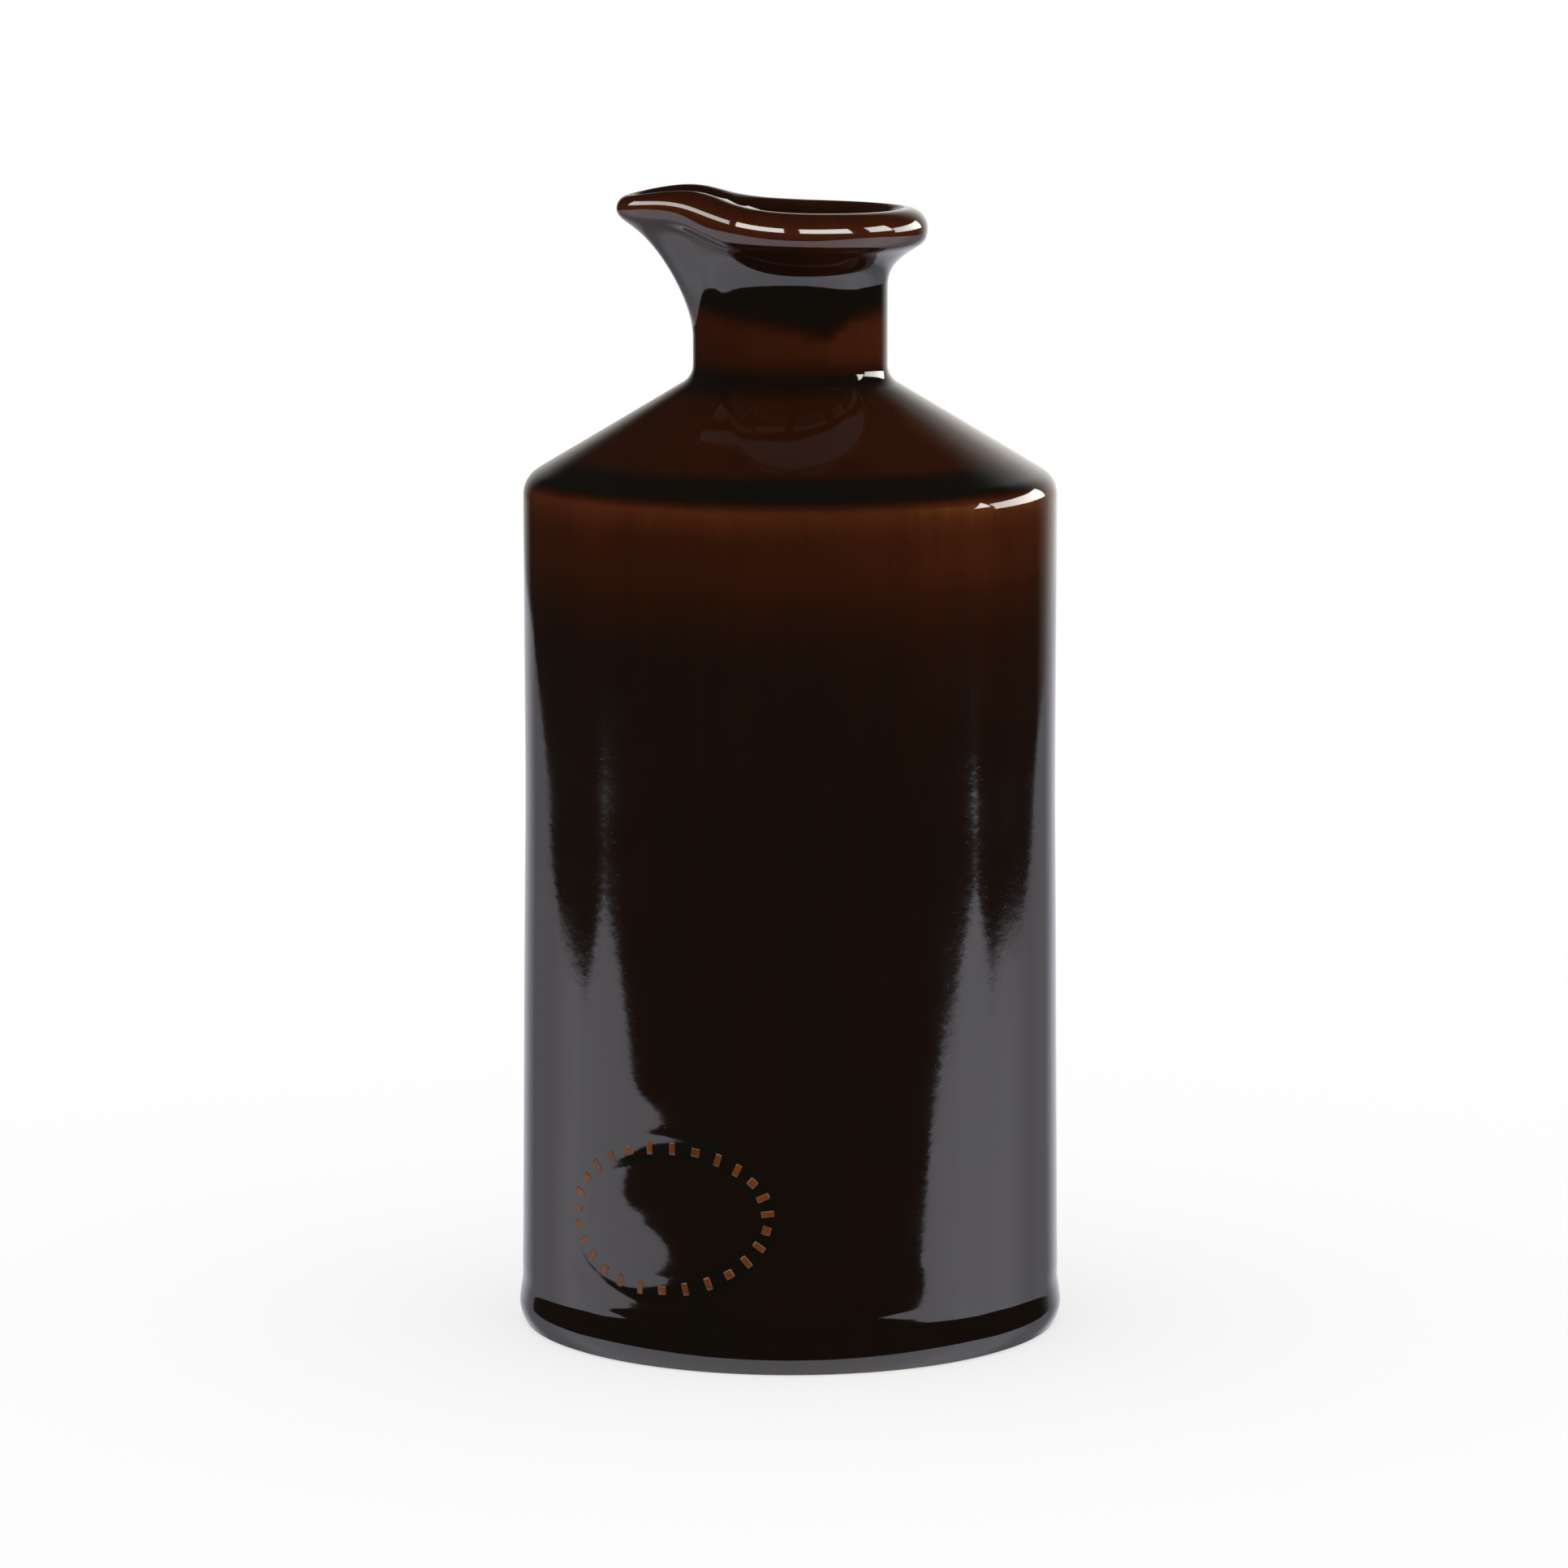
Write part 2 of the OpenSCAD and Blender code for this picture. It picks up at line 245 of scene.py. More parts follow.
class MeshMaker:
    """Turns grids of points into one mesh object."""

    SHARP_ANGLE = math.radians(48)

    def __init__(self) -> None:
        """Starts with nothing."""
        self.points: List[np.ndarray] = []
        self.faces: List[Tuple[int, ...]] = []
        self.values: Dict[str, List[np.ndarray]] = {}
        self.count = 0

    def add_points(self, points: np.ndarray, **values: np.ndarray) -> int:
        """Adds points in millimetres.

        Args:
            points: One row of X, Y and Z for each point.
            values: Attributes, one value for each point.

        Returns:
            Index of the first point added.
        """
        first = self.count
        self.points.append(points)
        self.count += len(points)
        for name, value in values.items():
            self.values.setdefault(name, []).append(np.broadcast_to(value, len(points)))
        return first

    def add_grid(self, first: int, rows: int, columns: int, closed: bool = False) -> None:
        """Joins points that lie in rows, each row a closed ring round the axis.

        Args:
            first: Index of the first point.
            rows: Number of rows.
            columns: Number of points in a row.
            closed: Whether the last row joins the first.
        """
        for i in range(rows if closed else rows - 1):
            low = first + i * columns
            high = first + (i + 1) % rows * columns
            for j in range(columns):
                k = (j + 1) % columns
                self.faces.append((low + j, low + k, high + k, high + j))

    def add_cap(self, ring: int, columns: int, pole: int, up: bool) -> None:
        """Joins a ring of points to one point on the axis.

        Args:
            ring: Index of the ring's first point.
            columns: Number of points in the ring.
            pole: Index of the point on the axis.
            up: Whether the cap faces up.
        """
        for j in range(columns):
            k = (j + 1) % columns
            face = (ring + j, ring + k, pole) if up else (ring + k, ring + j, pole)
            self.faces.append(face)

    def finish(self, name: str) -> bpy.types.Object:
        """Makes the object, with its place in its mesh.

        Args:
            name: Name of the piece.

        Returns:
            The new object.
        """
        mesh = bpy.data.meshes.new(name)
        mesh.from_pydata((np.concatenate(self.points) * MM).tolist(), [], self.faces)
        for attribute, parts in self.values.items():
            layer = mesh.attributes.new(attribute, "FLOAT", "POINT")
            layer.data.foreach_set("value", np.concatenate(parts).astype(np.float32))
        mesh.update()
        mesh.shade_smooth()
        mesh.set_sharp_from_angle(angle=self.SHARP_ANGLE)
        made = bpy.data.objects.new(name, mesh)
        bpy.context.scene.collection.objects.link(made)
        return made


def around(rows: np.ndarray, headings: np.ndarray, inset: Optional[np.ndarray] = None) -> np.ndarray:
    """Turns an outline round the axis.

    Args:
        rows: Radius and height of each row.
        headings: Angles from +X, in radians, of the columns.
        inset: Depth of each point under the outline, by row and column.

    Returns:
        Points in rows, as MeshMaker takes them.
    """
    normal = outward(rows)
    depth = np.zeros((len(rows), len(headings))) if inset is None else inset
    r = rows[:, :1] - normal[:, :1] * depth
    z = rows[:, 1:] - normal[:, 1:] * depth
    points = np.stack([r * np.cos(headings), r * np.sin(headings), z], axis=-1)
    return points.reshape(-1, 3)


class Wiring:
    """Places nodes in one tree and links them."""

    def __init__(self, tree: bpy.types.NodeTree) -> None:
        """Keeps the tree that the nodes go into."""
        self.tree = tree

    def feed(self, socket: bpy.types.NodeSocket, value: Feed) -> None:
        """Links an output to a socket, or sets the socket's own value."""
        if isinstance(value, bpy.types.NodeSocket):
            self.tree.links.new(value, socket)
        else:
            socket.default_value = value

    def node(self, kind: str, inputs: Optional[Dict] = None, **settings) -> bpy.types.Node:
        """Adds a node.

        Args:
            kind: Blender's name of the node's type.
            inputs: Values or outputs for its sockets, by name or number.
            settings: The node's own options.

        Returns:
            The new node.
        """
        made = self.tree.nodes.new(kind)
        for name, value in settings.items():
            setattr(made, name, value)
        for name, value in (inputs or {}).items():
            self.feed(made.inputs[name], value)
        return made

    def maths(self, operation: str, *values: Feed, clamp: bool = False) -> bpy.types.NodeSocket:
        """Result of a Math node on up to three values."""
        inputs = dict(enumerate(values))
        return self.node("ShaderNodeMath", inputs, operation=operation, use_clamp=clamp).outputs[0]

    def vector_maths(self, operation: str, *values: Feed) -> bpy.types.NodeSocket:
        """Vector result of a Vector Math node."""
        return self.node("ShaderNodeVectorMath", dict(enumerate(values)), operation=operation).outputs[0]

    def ranged(self, value: Feed, old: Tuple[float, float], new: Tuple[float, float],
               smooth: bool = False) -> bpy.types.NodeSocket:
        """A value carried from one range to another and kept inside it."""
        inputs = {"Value": value, "From Min": old[0], "From Max": old[1],
                  "To Min": new[0], "To Max": new[1]}
        kind = "SMOOTHSTEP" if smooth else "LINEAR"
        return self.node("ShaderNodeMapRange", inputs, interpolation_type=kind).outputs["Result"]

    def band(self, value: Feed, low: float, high: float, soft: float) -> bpy.types.NodeSocket:
        """A mask that is 1 between two values and fades outside them."""
        rise = self.ranged(value, (low - soft, low), (0, 1), smooth=True)
        fall = self.ranged(value, (high, high + soft), (1, 0), smooth=True)
        return self.maths("MULTIPLY", rise, fall)

    def curve(self, value: Feed, pairs: Pairs) -> bpy.types.NodeSocket:
        """Straight lines through pairs of input and output.

        Args:
            value: The input.
            pairs: Input and output of each point, with the inputs rising.

        Returns:
            The output on those lines.
        """
        low, high = pairs[0][0], pairs[-1][0]
        least = min(p[1] for p in pairs)
        most = max(p[1] for p in pairs)
        made = self.node("ShaderNodeFloatCurve", {"Value": self.ranged(value, (low, high), (0, 1))})
        line = made.mapping.curves[0]
        while len(line.points) < len(pairs):
            line.points.new(0.5, 0.5)
        for point, (x, y) in zip(line.points, pairs):
            point.location = ((x - low) / (high - low), (y - least) / (most - least))
            point.handle_type = "VECTOR"
        made.mapping.update()
        return self.ranged(made.outputs[0], (0, 1), (least, most))

    def noise(self, place: Feed, scale: float, detail: float = 2, seed: float = 0) -> bpy.types.NodeSocket:
        """Soft noise of about 0 to 1 at a place."""
        inputs = {"Vector": place, "W": seed, "Scale": scale, "Detail": detail}
        return self.node("ShaderNodeTexNoise", inputs, noise_dimensions="4D").outputs[0]

    def ramp(self, value: Feed, stops: Sequence[Tuple[float, Colour]]) -> bpy.types.NodeSocket:
        """Colour of a ramp at a value."""
        made = self.node("ShaderNodeValToRGB", {0: value})
        elements = made.color_ramp.elements
        while len(elements) < len(stops):
            elements.new(0.5)
        for element, (place, colour) in zip(elements, stops):
            element.position = place
            element.color = (*colour, 1)
        return made.outputs["Color"]

    def blend(self, share: Feed, first: Feed, second: Feed, kind: str = "MIX") -> bpy.types.NodeSocket:
        """Mixes two colours."""
        made = self.node("ShaderNodeMix", data_type="RGBA", blend_type=kind)
        self.feed(made.inputs["Factor"], share)
        colours = [s for s in made.inputs if s.type == "RGBA"]
        for socket, value in zip(colours, (first, second)):
            is_tuple = isinstance(value, tuple)
            self.feed(socket, (*value, 1) if is_tuple else value)
        return next(s for s in made.outputs if s.type == "RGBA")


class ShaderGroup:
    """A shader effect with named inputs and outputs that several materials place."""

    NAME = "Group"
    INPUTS: Dict[str, float] = {}
    OUTPUTS: Dict[str, str] = {}

    def __init__(self) -> None:
        """Builds the group."""
        self.tree = bpy.data.node_groups.new(self.NAME, "ShaderNodeTree")
        for name, value in self.INPUTS.items():
            made = self.tree.interface.new_socket(name, in_out="INPUT", socket_type="NodeSocketFloat")
            made.default_value = value
        for name, kind in self.OUTPUTS.items():
            self.tree.interface.new_socket(name, in_out="OUTPUT", socket_type=kind)
        self.wiring = Wiring(self.tree)
        entry = self.wiring.node("NodeGroupInput")
        leave = self.wiring.node("NodeGroupOutput")
        for name, value in self.build({s.name: s for s in entry.outputs}).items():
            self.wiring.feed(leave.inputs[name], value)

    def build(self, given: Dict[str, bpy.types.NodeSocket]) -> Dict[str, bpy.types.NodeSocket]:
        """Makes the effect.

        Args:
            given: The group's inputs by name.

        Returns:
            What each of the group's outputs gets.
        """
        raise NotImplementedError

    def place(self, wiring: Wiring, **values: Feed) -> bpy.types.Node:
        """Places the group in a material, with its inputs by name, spaces as underscores."""
        made = wiring.node("ShaderNodeGroup", node_tree=self.tree)
        for name, value in values.items():
            wiring.feed(made.inputs[name.replace("_", " ")], value)
        return made


class GlazeDepth(ShaderGroup):
    """Colour of the brown glaze by how deep it lies: amber where it is thin, black where it pools.

    Runs are the streaks in which it flowed down, and clouds its uneven depth. Specks are iron.
    """

    NAME = "Glaze depth"
    INPUTS = {"Pool": 0.8, "Runs": 0.2, "Clouds": 0.15, "Specks": 0.3}
    OUTPUTS = {"Color": "NodeSocketColor", "Roughness": "NodeSocketFloat", "Height": "NodeSocketFloat"}
    STOPS = (
        (0.00, (0.230, 0.075, 0.016)),
        (0.30, (0.066, 0.0155, 0.0045)),
        (0.50, (0.029, 0.0066, 0.0021)),
        (0.66, (0.0165, 0.0052, 0.0020)),
        (0.82, (0.0092, 0.0039, 0.0023)),
        (1.00, (0.0050, 0.0046, 0.0030)),
    )

    def build(self, given: Dict[str, bpy.types.NodeSocket]) -> Dict[str, bpy.types.NodeSocket]:
        """Makes the colour, roughness and height of the glaze."""
        w = self.wiring
        place = w.node("ShaderNodeTexCoord").outputs["Object"]
        run_place = w.vector_maths("MULTIPLY", place, (1, 1, 0.05))
        runs = w.noise(run_place, 210, 3, 1.7)
        fine_runs = w.noise(run_place, 620, 2, 6.1)
        clouds = w.noise(place, 42, 3, 3.3)
        flow = w.maths("ADD", w.maths("MULTIPLY", runs, 0.7), w.maths("MULTIPLY", fine_runs, 0.3))
        flow = w.maths("MULTIPLY", w.maths("SUBTRACT", flow, 0.5), given["Runs"])
        drift = w.maths("MULTIPLY", w.maths("SUBTRACT", clouds, 0.5), given["Clouds"])
        depth = w.maths("ADD", given["Pool"], w.maths("ADD", flow, drift), clamp=True)
        colour = w.ramp(depth, self.STOPS)
        grains = w.noise(place, 1500, 1, 8.2)
        specks = w.maths("MULTIPLY", w.ranged(grains, (0.66, 0.74), (0, 1)), given["Specks"])
        colour = w.blend(specks, colour, (0.004, 0.003, 0.003))
        haze = w.noise(place, 90, 2, 5.5)
        roughness = w.ranged(haze, (0.3, 0.7), (0.035, 0.06))
        skin = w.noise(place, 520, 2, 2.2)
        height = w.maths("ADD", w.maths("MULTIPLY", skin, 0.7), w.maths("MULTIPLY", specks, -0.5))
        return {"Color": colour, "Roughness": roughness, "Height": height}


class ClayGrain(ShaderGroup):
    """Grog, iron spots and the faint rings that a turning tool leaves in bare stoneware."""

    NAME = "Clay grain"
    INPUTS = {"Rings": 0.5, "Spots": 0.6}
    OUTPUTS = {"Shade": "NodeSocketFloat", "Spots": "NodeSocketFloat", "Height": "NodeSocketFloat"}

    def build(self, given: Dict[str, bpy.types.NodeSocket]) -> Dict[str, bpy.types.NodeSocket]:
        """Makes the shade, the spots and the height of the clay."""
        w = self.wiring
        place = w.node("ShaderNodeTexCoord").outputs["Object"]
        flat = w.vector_maths("MULTIPLY", place, (1, 1, 0.6))
        away = w.node("ShaderNodeVectorMath", {0: flat}, operation="LENGTH").outputs["Value"]
        wander = w.maths("MULTIPLY", w.noise(place, 60, 2, 1.1), 0.0012)
        turns = w.maths("SINE", w.maths("MULTIPLY", w.maths("ADD", away, wander), 3900))
        rings = w.maths("MULTIPLY", turns, given["Rings"])
        grain = w.noise(place, 1400, 3, 4.4)
        patches = w.noise(place, 70, 3, 9.1)
        shade = w.maths("ADD", w.maths("MULTIPLY", grain, 0.55), w.maths("MULTIPLY", patches, 0.45))
        spotted = w.noise(place, 900, 1, 7.3)
        spots = w.maths("MULTIPLY", w.ranged(spotted, (0.64, 0.72), (0, 1)), given["Spots"])
        height = w.maths("ADD", grain, w.maths("MULTIPLY", rings, 0.6))
        return {"Shade": shade, "Spots": spots, "Height": height}


@dataclass(frozen=True)
class GlazeFinish:
    """A coat of the glossy brown glaze."""

    name: str
    runs: float = 0.22
    clouds: float = 0.18
    specks: float = 0.35
    pool: Optional[float] = None
    relief: float = 0.03
    index: float = 1.6

    def material(self, depth: GlazeDepth) -> bpy.types.Material:
        """Makes the material.

        Args:
            depth: The shared glaze effect.

        Returns:
            The new material.
        """
        made = bpy.data.materials.new(self.name)
        made.use_nodes = True
        made.node_tree.nodes.clear()
        w = Wiring(made.node_tree)
        pool: Feed = self.pool
        if self.pool is None:
            pool = w.node("ShaderNodeAttribute", attribute_name=POOL).outputs["Fac"]
        glaze = depth.place(w, Pool=pool, Runs=self.runs, Clouds=self.clouds, Specks=self.specks)
        relief = w.node("ShaderNodeBump", {"Strength": self.relief, "Distance": 0.0002,
                                           "Height": glaze.outputs["Height"]})
        shader = w.node("ShaderNodeBsdfPrincipled", {
            "Base Color": glaze.outputs["Color"],
            "Roughness": glaze.outputs["Roughness"],
            "IOR": self.index,
            "Normal": relief.outputs["Normal"],
        })
        w.node("ShaderNodeOutputMaterial", {"Surface": shader.outputs["BSDF"]})
        return made


@dataclass(frozen=True)
class ClayFinish:
    """Fired stoneware without glaze."""

    name: str
    dark: Colour
    pale: Colour
    spot: Colour = (0.05, 0.022, 0.012)
    rings: float = 0.5
    spots: float = 0.6
    relief: float = 0.35

    def material(self, grain: ClayGrain) -> bpy.types.Material:
        """Makes the material.

        Args:
            grain: The shared clay effect.

        Returns:
            The new material.
        """
        made = bpy.data.materials.new(self.name)
        made.use_nodes = True
        made.node_tree.nodes.clear()
        w = Wiring(made.node_tree)
        clay = grain.place(w, Rings=self.rings, Spots=self.spots)
        body = w.ramp(clay.outputs["Shade"], ((0.3, self.dark), (0.7, self.pale)))
        colour = w.blend(clay.outputs["Spots"], body, self.spot)
        relief = w.node("ShaderNodeBump", {"Strength": self.relief, "Distance": 0.0003,
                                           "Height": clay.outputs["Height"]})
        shader = w.node("ShaderNodeBsdfPrincipled", {
            "Base Color": colour,
            "Roughness": w.ranged(clay.outputs["Shade"], (0.3, 0.7), (0.86, 0.7)),
            "Normal": relief.outputs["Normal"],
        })
        w.node("ShaderNodeOutputMaterial", {"Surface": shader.outputs["BSDF"]})
        return made


class Finishes:
    """Every material of the bottle."""

    def __init__(self) -> None:
        """Builds the shared effects and the materials."""
        depth = GlazeDepth()
        grain = ClayGrain()
        self.outside = GlazeFinish("Brown glaze").material(depth)
        self.inside = GlazeFinish("Inner glaze", runs=0.3, pool=0.78, relief=0.08).material(depth)
        self.marks = GlazeFinish("Thin glaze on the marks", runs=0.05, clouds=0.5, specks=0.2,
                                 pool=0.18, relief=0.1, index=1.3).material(depth)
        self.covered = ClayFinish("Clay under the glaze", (0.20, 0.085, 0.04), (0.30, 0.14, 0.07),
                                  rings=0.2).material(grain)
        self.bare = ClayFinish("Bare clay", (0.36, 0.22, 0.13), (0.52, 0.36, 0.24)).material(grain)


class NodeTree:
    """A Geometry Nodes tree with named inputs, run on one object and turned to a plain mesh."""

    NAME = "Tree"
    INPUTS: Dict[str, Tuple[str, object]] = {}

    def __init__(self) -> None:
        """Builds the tree."""
        self.tree = bpy.data.node_groups.new(self.NAME, "GeometryNodeTree")
        face = self.tree.interface
        face.new_socket("Geometry", in_out="INPUT", socket_type="NodeSocketGeometry")
        for name, (kind, value) in self.INPUTS.items():
            made = face.new_socket(name, in_out="INPUT", socket_type=kind)
            if value is not None:
                made.default_value = value
        face.new_socket("Geometry", in_out="OUTPUT", socket_type="NodeSocketGeometry")
        self.wiring = Wiring(self.tree)
        entry = self.wiring.node("NodeGroupInput")
        given = {s.name: s for s in entry.outputs}
        shape = self.build(given)
        real = self.wiring.node("GeometryNodeRealizeInstances", {"Geometry": shape})
        dressed = self.wiring.node("GeometryNodeSetMaterial", {"Geometry": real.outputs[0]})
        self.wiring.feed(dressed.inputs["Material"], given["Material"])
        self.wiring.node("NodeGroupOutput", {0: dressed.outputs[0]})

    def build(self, given: Dict[str, bpy.types.NodeSocket]) -> bpy.types.NodeSocket:
        """Makes the tree's shape.

        Args:
            given: The tree's inputs by name.

        Returns:
            The shape, before its instances are made real.
        """
        raise NotImplementedError

    def run(self, piece: bpy.types.Object, **values: object) -> bpy.types.Object:
        """Runs the tree on a piece and keeps the result as its plain mesh.

        Args:
            piece: Object that the tree changes.
            values: The tree's inputs by name, spaces as underscores.

        Returns:
            The same object.
        """
        name = piece.name
        modifier = piece.modifiers.new(self.NAME, "NODES")
        modifier.node_group = self.tree
        sockets = {s.name: s.identifier for s in self.tree.interface.items_tree if s.in_out == "INPUT"}
        for key, value in values.items():
            modifier[sockets[key.replace("_", " ")]] = value
        bpy.context.view_layer.update()
        graph = bpy.context.evaluated_depsgraph_get()
        mesh = bpy.data.meshes.new_from_object(piece.evaluated_get(graph))
        piece.modifiers.remove(modifier)
        old = piece.data
        piece.data = mesh
        bpy.data.meshes.remove(old)
        mesh.name = name
        return piece


class HandWork(NodeTree):
    """The uneven surface of thrown and dipped ware: long lumps, and upright runs of glaze."""

    NAME = "Hand work"
    INPUTS = {
        "Lump height": ("NodeSocketFloat", 0.0),
        "Lump scale": ("NodeSocketFloat", 1.0),
        "Run height": ("NodeSocketFloat", 0.0),
        "Run scale": ("NodeSocketFloat", 1.0),
        "Seed": ("NodeSocketFloat", 0.0),
        "Material": ("NodeSocketMaterial", None),
    }

    def build(self, given: Dict[str, bpy.types.NodeSocket]) -> bpy.types.NodeSocket:
        """Moves each point along its normal by the noise at its place."""
        w = self.wiring
        place = w.node("GeometryNodeInputPosition").outputs[0]
        normal = w.node("GeometryNodeInputNormal").outputs[0]
        share = w.node("GeometryNodeInputNamedAttribute", {"Name": HAND}, data_type="FLOAT").outputs[0]
        lump = self._noise(w.vector_maths("MULTIPLY", place, (1, 1, 0.45)), given["Lump scale"],
                           given["Seed"])
        run = self._noise(w.vector_maths("MULTIPLY", place, (1, 1, 0.07)), given["Run scale"],
                          given["Seed"])
        height = w.maths("ADD", w.maths("MULTIPLY", lump, given["Lump height"]),
                         w.maths("MULTIPLY", run, given["Run height"]))
        height = w.maths("MULTIPLY", height, share)
        offset = w.node("ShaderNodeVectorMath", {0: normal}, operation="SCALE")
        w.feed(offset.inputs["Scale"], height)
        moved = w.node("GeometryNodeSetPosition", {"Geometry": given["Geometry"],
                                                   "Offset": offset.outputs[0]})
        return moved.outputs[0]

    def _noise(self, place: Feed, scale: Feed, seed: Feed) -> bpy.types.NodeSocket:
        """Noise round zero at a place."""
        return self.wiring.maths("SUBTRACT", self.wiring.noise(place, scale, 1, seed), 0.5)


@dataclass
class HandMade:
    """How uneven the bottle's outside is, in metres, the same on every coat that meets another."""

    lump_height: float = 0.00035
    lump_scale: float = 24.0
    run_height: float = 0.00006
    run_scale: float = 150.0
    seed: float = 4.0
    tree: HandWork = field(default_factory=HandWork)

    def work(self, piece: bpy.types.Object, material: bpy.types.Material) -> bpy.types.Object:
        """Works a piece over and dresses it."""
        return self.tree.run(
            piece,
            Lump_height=self.lump_height,
            Lump_scale=self.lump_scale,
            Run_height=self.run_height,
            Run_scale=self.run_scale,
            Seed=self.seed,
            Material=material,
        )


def keep(piece: bpy.types.Object, slot: Slot, *nodes: str) -> None:
    """Rides a finished piece on the bottle in place of CAD nodes.

    Args:
        piece: The finished piece.
        slot: A material slot; not used.
        nodes: CAD nodes that it stands for.
    """
    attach(piece, BODY)
    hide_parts(*nodes)
    triangles = sum(len(p.vertices) - 2 for p in piece.data.polygons)
    LOG.info("%s: %d triangles, stands for %s", piece.name, triangles, ", ".join(nodes))


@dataclass
class Seal:
    """The oval seal, pressed low into the wall: a sunk band round a gently domed field."""

    turn: float = 28
    z: float = 28.3
    half_w: float = 20.9
    half_h: float = 13.4
    band_w: float = 4.6
    tilt: float = 6
    band_depth: float = 0.21
    band_soft: float = 1.9
    brim_depth: float = 0.15
    brim_reach: float = 4.5
    dome: float = 0.17
    clay_depth: float = 1.45
    field_depth: float = 0.45
    band_spill: float = 0.35

    @property
    def heading(self) -> float:
        """Angle of the middle of the seal from +X, in radians."""
        return math.radians(-90 - self.turn)

    def local(self, heading: np.ndarray, z: np.ndarray) -> Tuple[np.ndarray, np.ndarray]:
        """Places on the wall as distances along the seal's own axes."""
        along = np.angle(np.exp(1j * (heading - self.heading))) * SIZES.wrap_r
        up = z - self.z
        c, s = math.cos(math.radians(self.tilt)), math.sin(math.radians(self.tilt))
        return along * c + up * s, -along * s + up * c

    def growth(self, u: np.ndarray, v: np.ndarray) -> np.ndarray:
        """Distance of a place outside the oval of the marks, negative inside it.

        Args:
            u: Distance along the oval's long axis.
            v: Distance along its short axis.

        Returns:
            Distances, kept off the oval's middle.
        """
        least = -self.half_h + 1
        size = np.hypot(u / self.half_w, v / self.half_h) + 1e-9
        g = np.clip(np.hypot(u, v) * (1 - 1 / size), least, None)
        for _ in range(12):
            a, b = self.half_w + g, self.half_h + g
            miss = (u / a) ** 2 + (v / b) ** 2 - 1
            slope = -2 * (u**2 / a**3 + v**2 / b**3) - 1e-9
            g = np.clip(g - np.clip(miss / slope, -2, 2), least, 60)
        return g

    def depth(self, heading: np.ndarray, z: np.ndarray) -> np.ndarray:
        """How deep the glaze's surface lies under the plain wall."""
        g = self.growth(*self.local(heading, z))
        half = self.band_w / 2
        brim = self.brim_depth * bump(np.clip(g - half, 0, None), self.brim_reach)
        field_share = np.clip(-(g + half) / (self.half_h - half - 1), 0, 1)
        floor = self.dome * (1 - smooth_step(field_share, -0.15, 1.0))
        ground = np.where(g > 0, brim, floor)
        ground = np.where(np.abs(g) < half, mix((self.dome, self.brim_depth), (g + half) / self.band_w),
                          ground)
        press = 1 - smooth_step(np.abs(g), half - self.band_soft, half + self.band_spill)
        return ground + (self.band_depth - ground) * press

    def coat_depth(self, heading: np.ndarray, z: np.ndarray) -> np.ndarray:
        """How deep the under side of the glaze lies, where it fills the pressed clay."""
        g = self.growth(*self.local(heading, z))
        half = self.band_w / 2
        press = 1 - smooth_step(np.abs(g), half, half + 1.2)
        field_extra = self.field_depth * (g < 0) * smooth_step(g, -self.half_h, -half)
        rest = SIZES.glaze_t + 0.2 * bump(np.clip(g - half, 0, None), self.brim_reach) + field_extra
        return rest + (self.clay_depth - rest) * press

    def pool(self, heading: np.ndarray, z: np.ndarray) -> np.ndarray:
        """Share of extra glaze that gathers in the pressed band."""
        g = self.growth(*self.local(heading, z))
        return 1 - smooth_step(np.abs(g), self.band_w / 2 - 0.8, self.band_w / 2 + 1.0)


class GlazePools:
    """Where the glaze outside lies thin and where it gathers, from 0 to 1."""

    WALL: Pairs = (
        (0, 0.90), (8, 0.92), (14, 0.86), (60, 0.87), (118, 0.86), (131, 0.84), (136, 0.79),
        (140, 0.70), (144, 0.62), (147.5, 0.53), (151, 0.51), (155, 0.48), (158.5, 0.36), (160, 0.31),
        (161.2, 0.55), (162.2, 0.98), (164.6, 1.0), (166.2, 0.62), (170, 0.57), (177.5, 0.58),
        (179.8, 0.85), (181.2, 0.97), (183.4, 0.62), (185, 0.50), (188.2, 0.46), (190.4, 0.50),
        (192.4, 0.95), (199.5, 0.97), (202, 0.80), (206.5, 0.62),
    )
    # Shift of the dark band on the neck by the angle from the front towards +X
    NECK_DRIFT: Pairs = (
        (-180, 2), (-110, 3), (-80, 3.6), (-45, 2.0), (0, 0), (22, -2.0), (38, 1.4), (60, 2.4), (180, 2),
    )
    # Thinner glaze on the side away from the spout, where the coat ran off
    THIN_SIDE: Pairs = ((-180, 0.02), (-60, 0), (0, 0), (45, -0.10), (90, -0.10), (180, 0.02))

    @classmethod
    def at(cls, heading: np.ndarray, z: np.ndarray) -> np.ndarray:
        """Depth of the glaze at a place outside.

        Args:
            heading: Angles from +X, in radians.
            z: Heights in millimetres.

        Returns:
            Shares from 0, thin, to 1, pooled.
        """
        azimuth = np.degrees(np.angle(np.exp(1j * (heading + math.pi / 2))))
        drift = between(cls.NECK_DRIFT, azimuth) * smooth_step(z, 186, 190)
        pool = between(cls.WALL, z - drift)
        side = between(cls.THIN_SIDE, azimuth) * smooth_step(z, 100, 135)
        return np.clip(pool + side * (pool < 0.9), 0, 1)


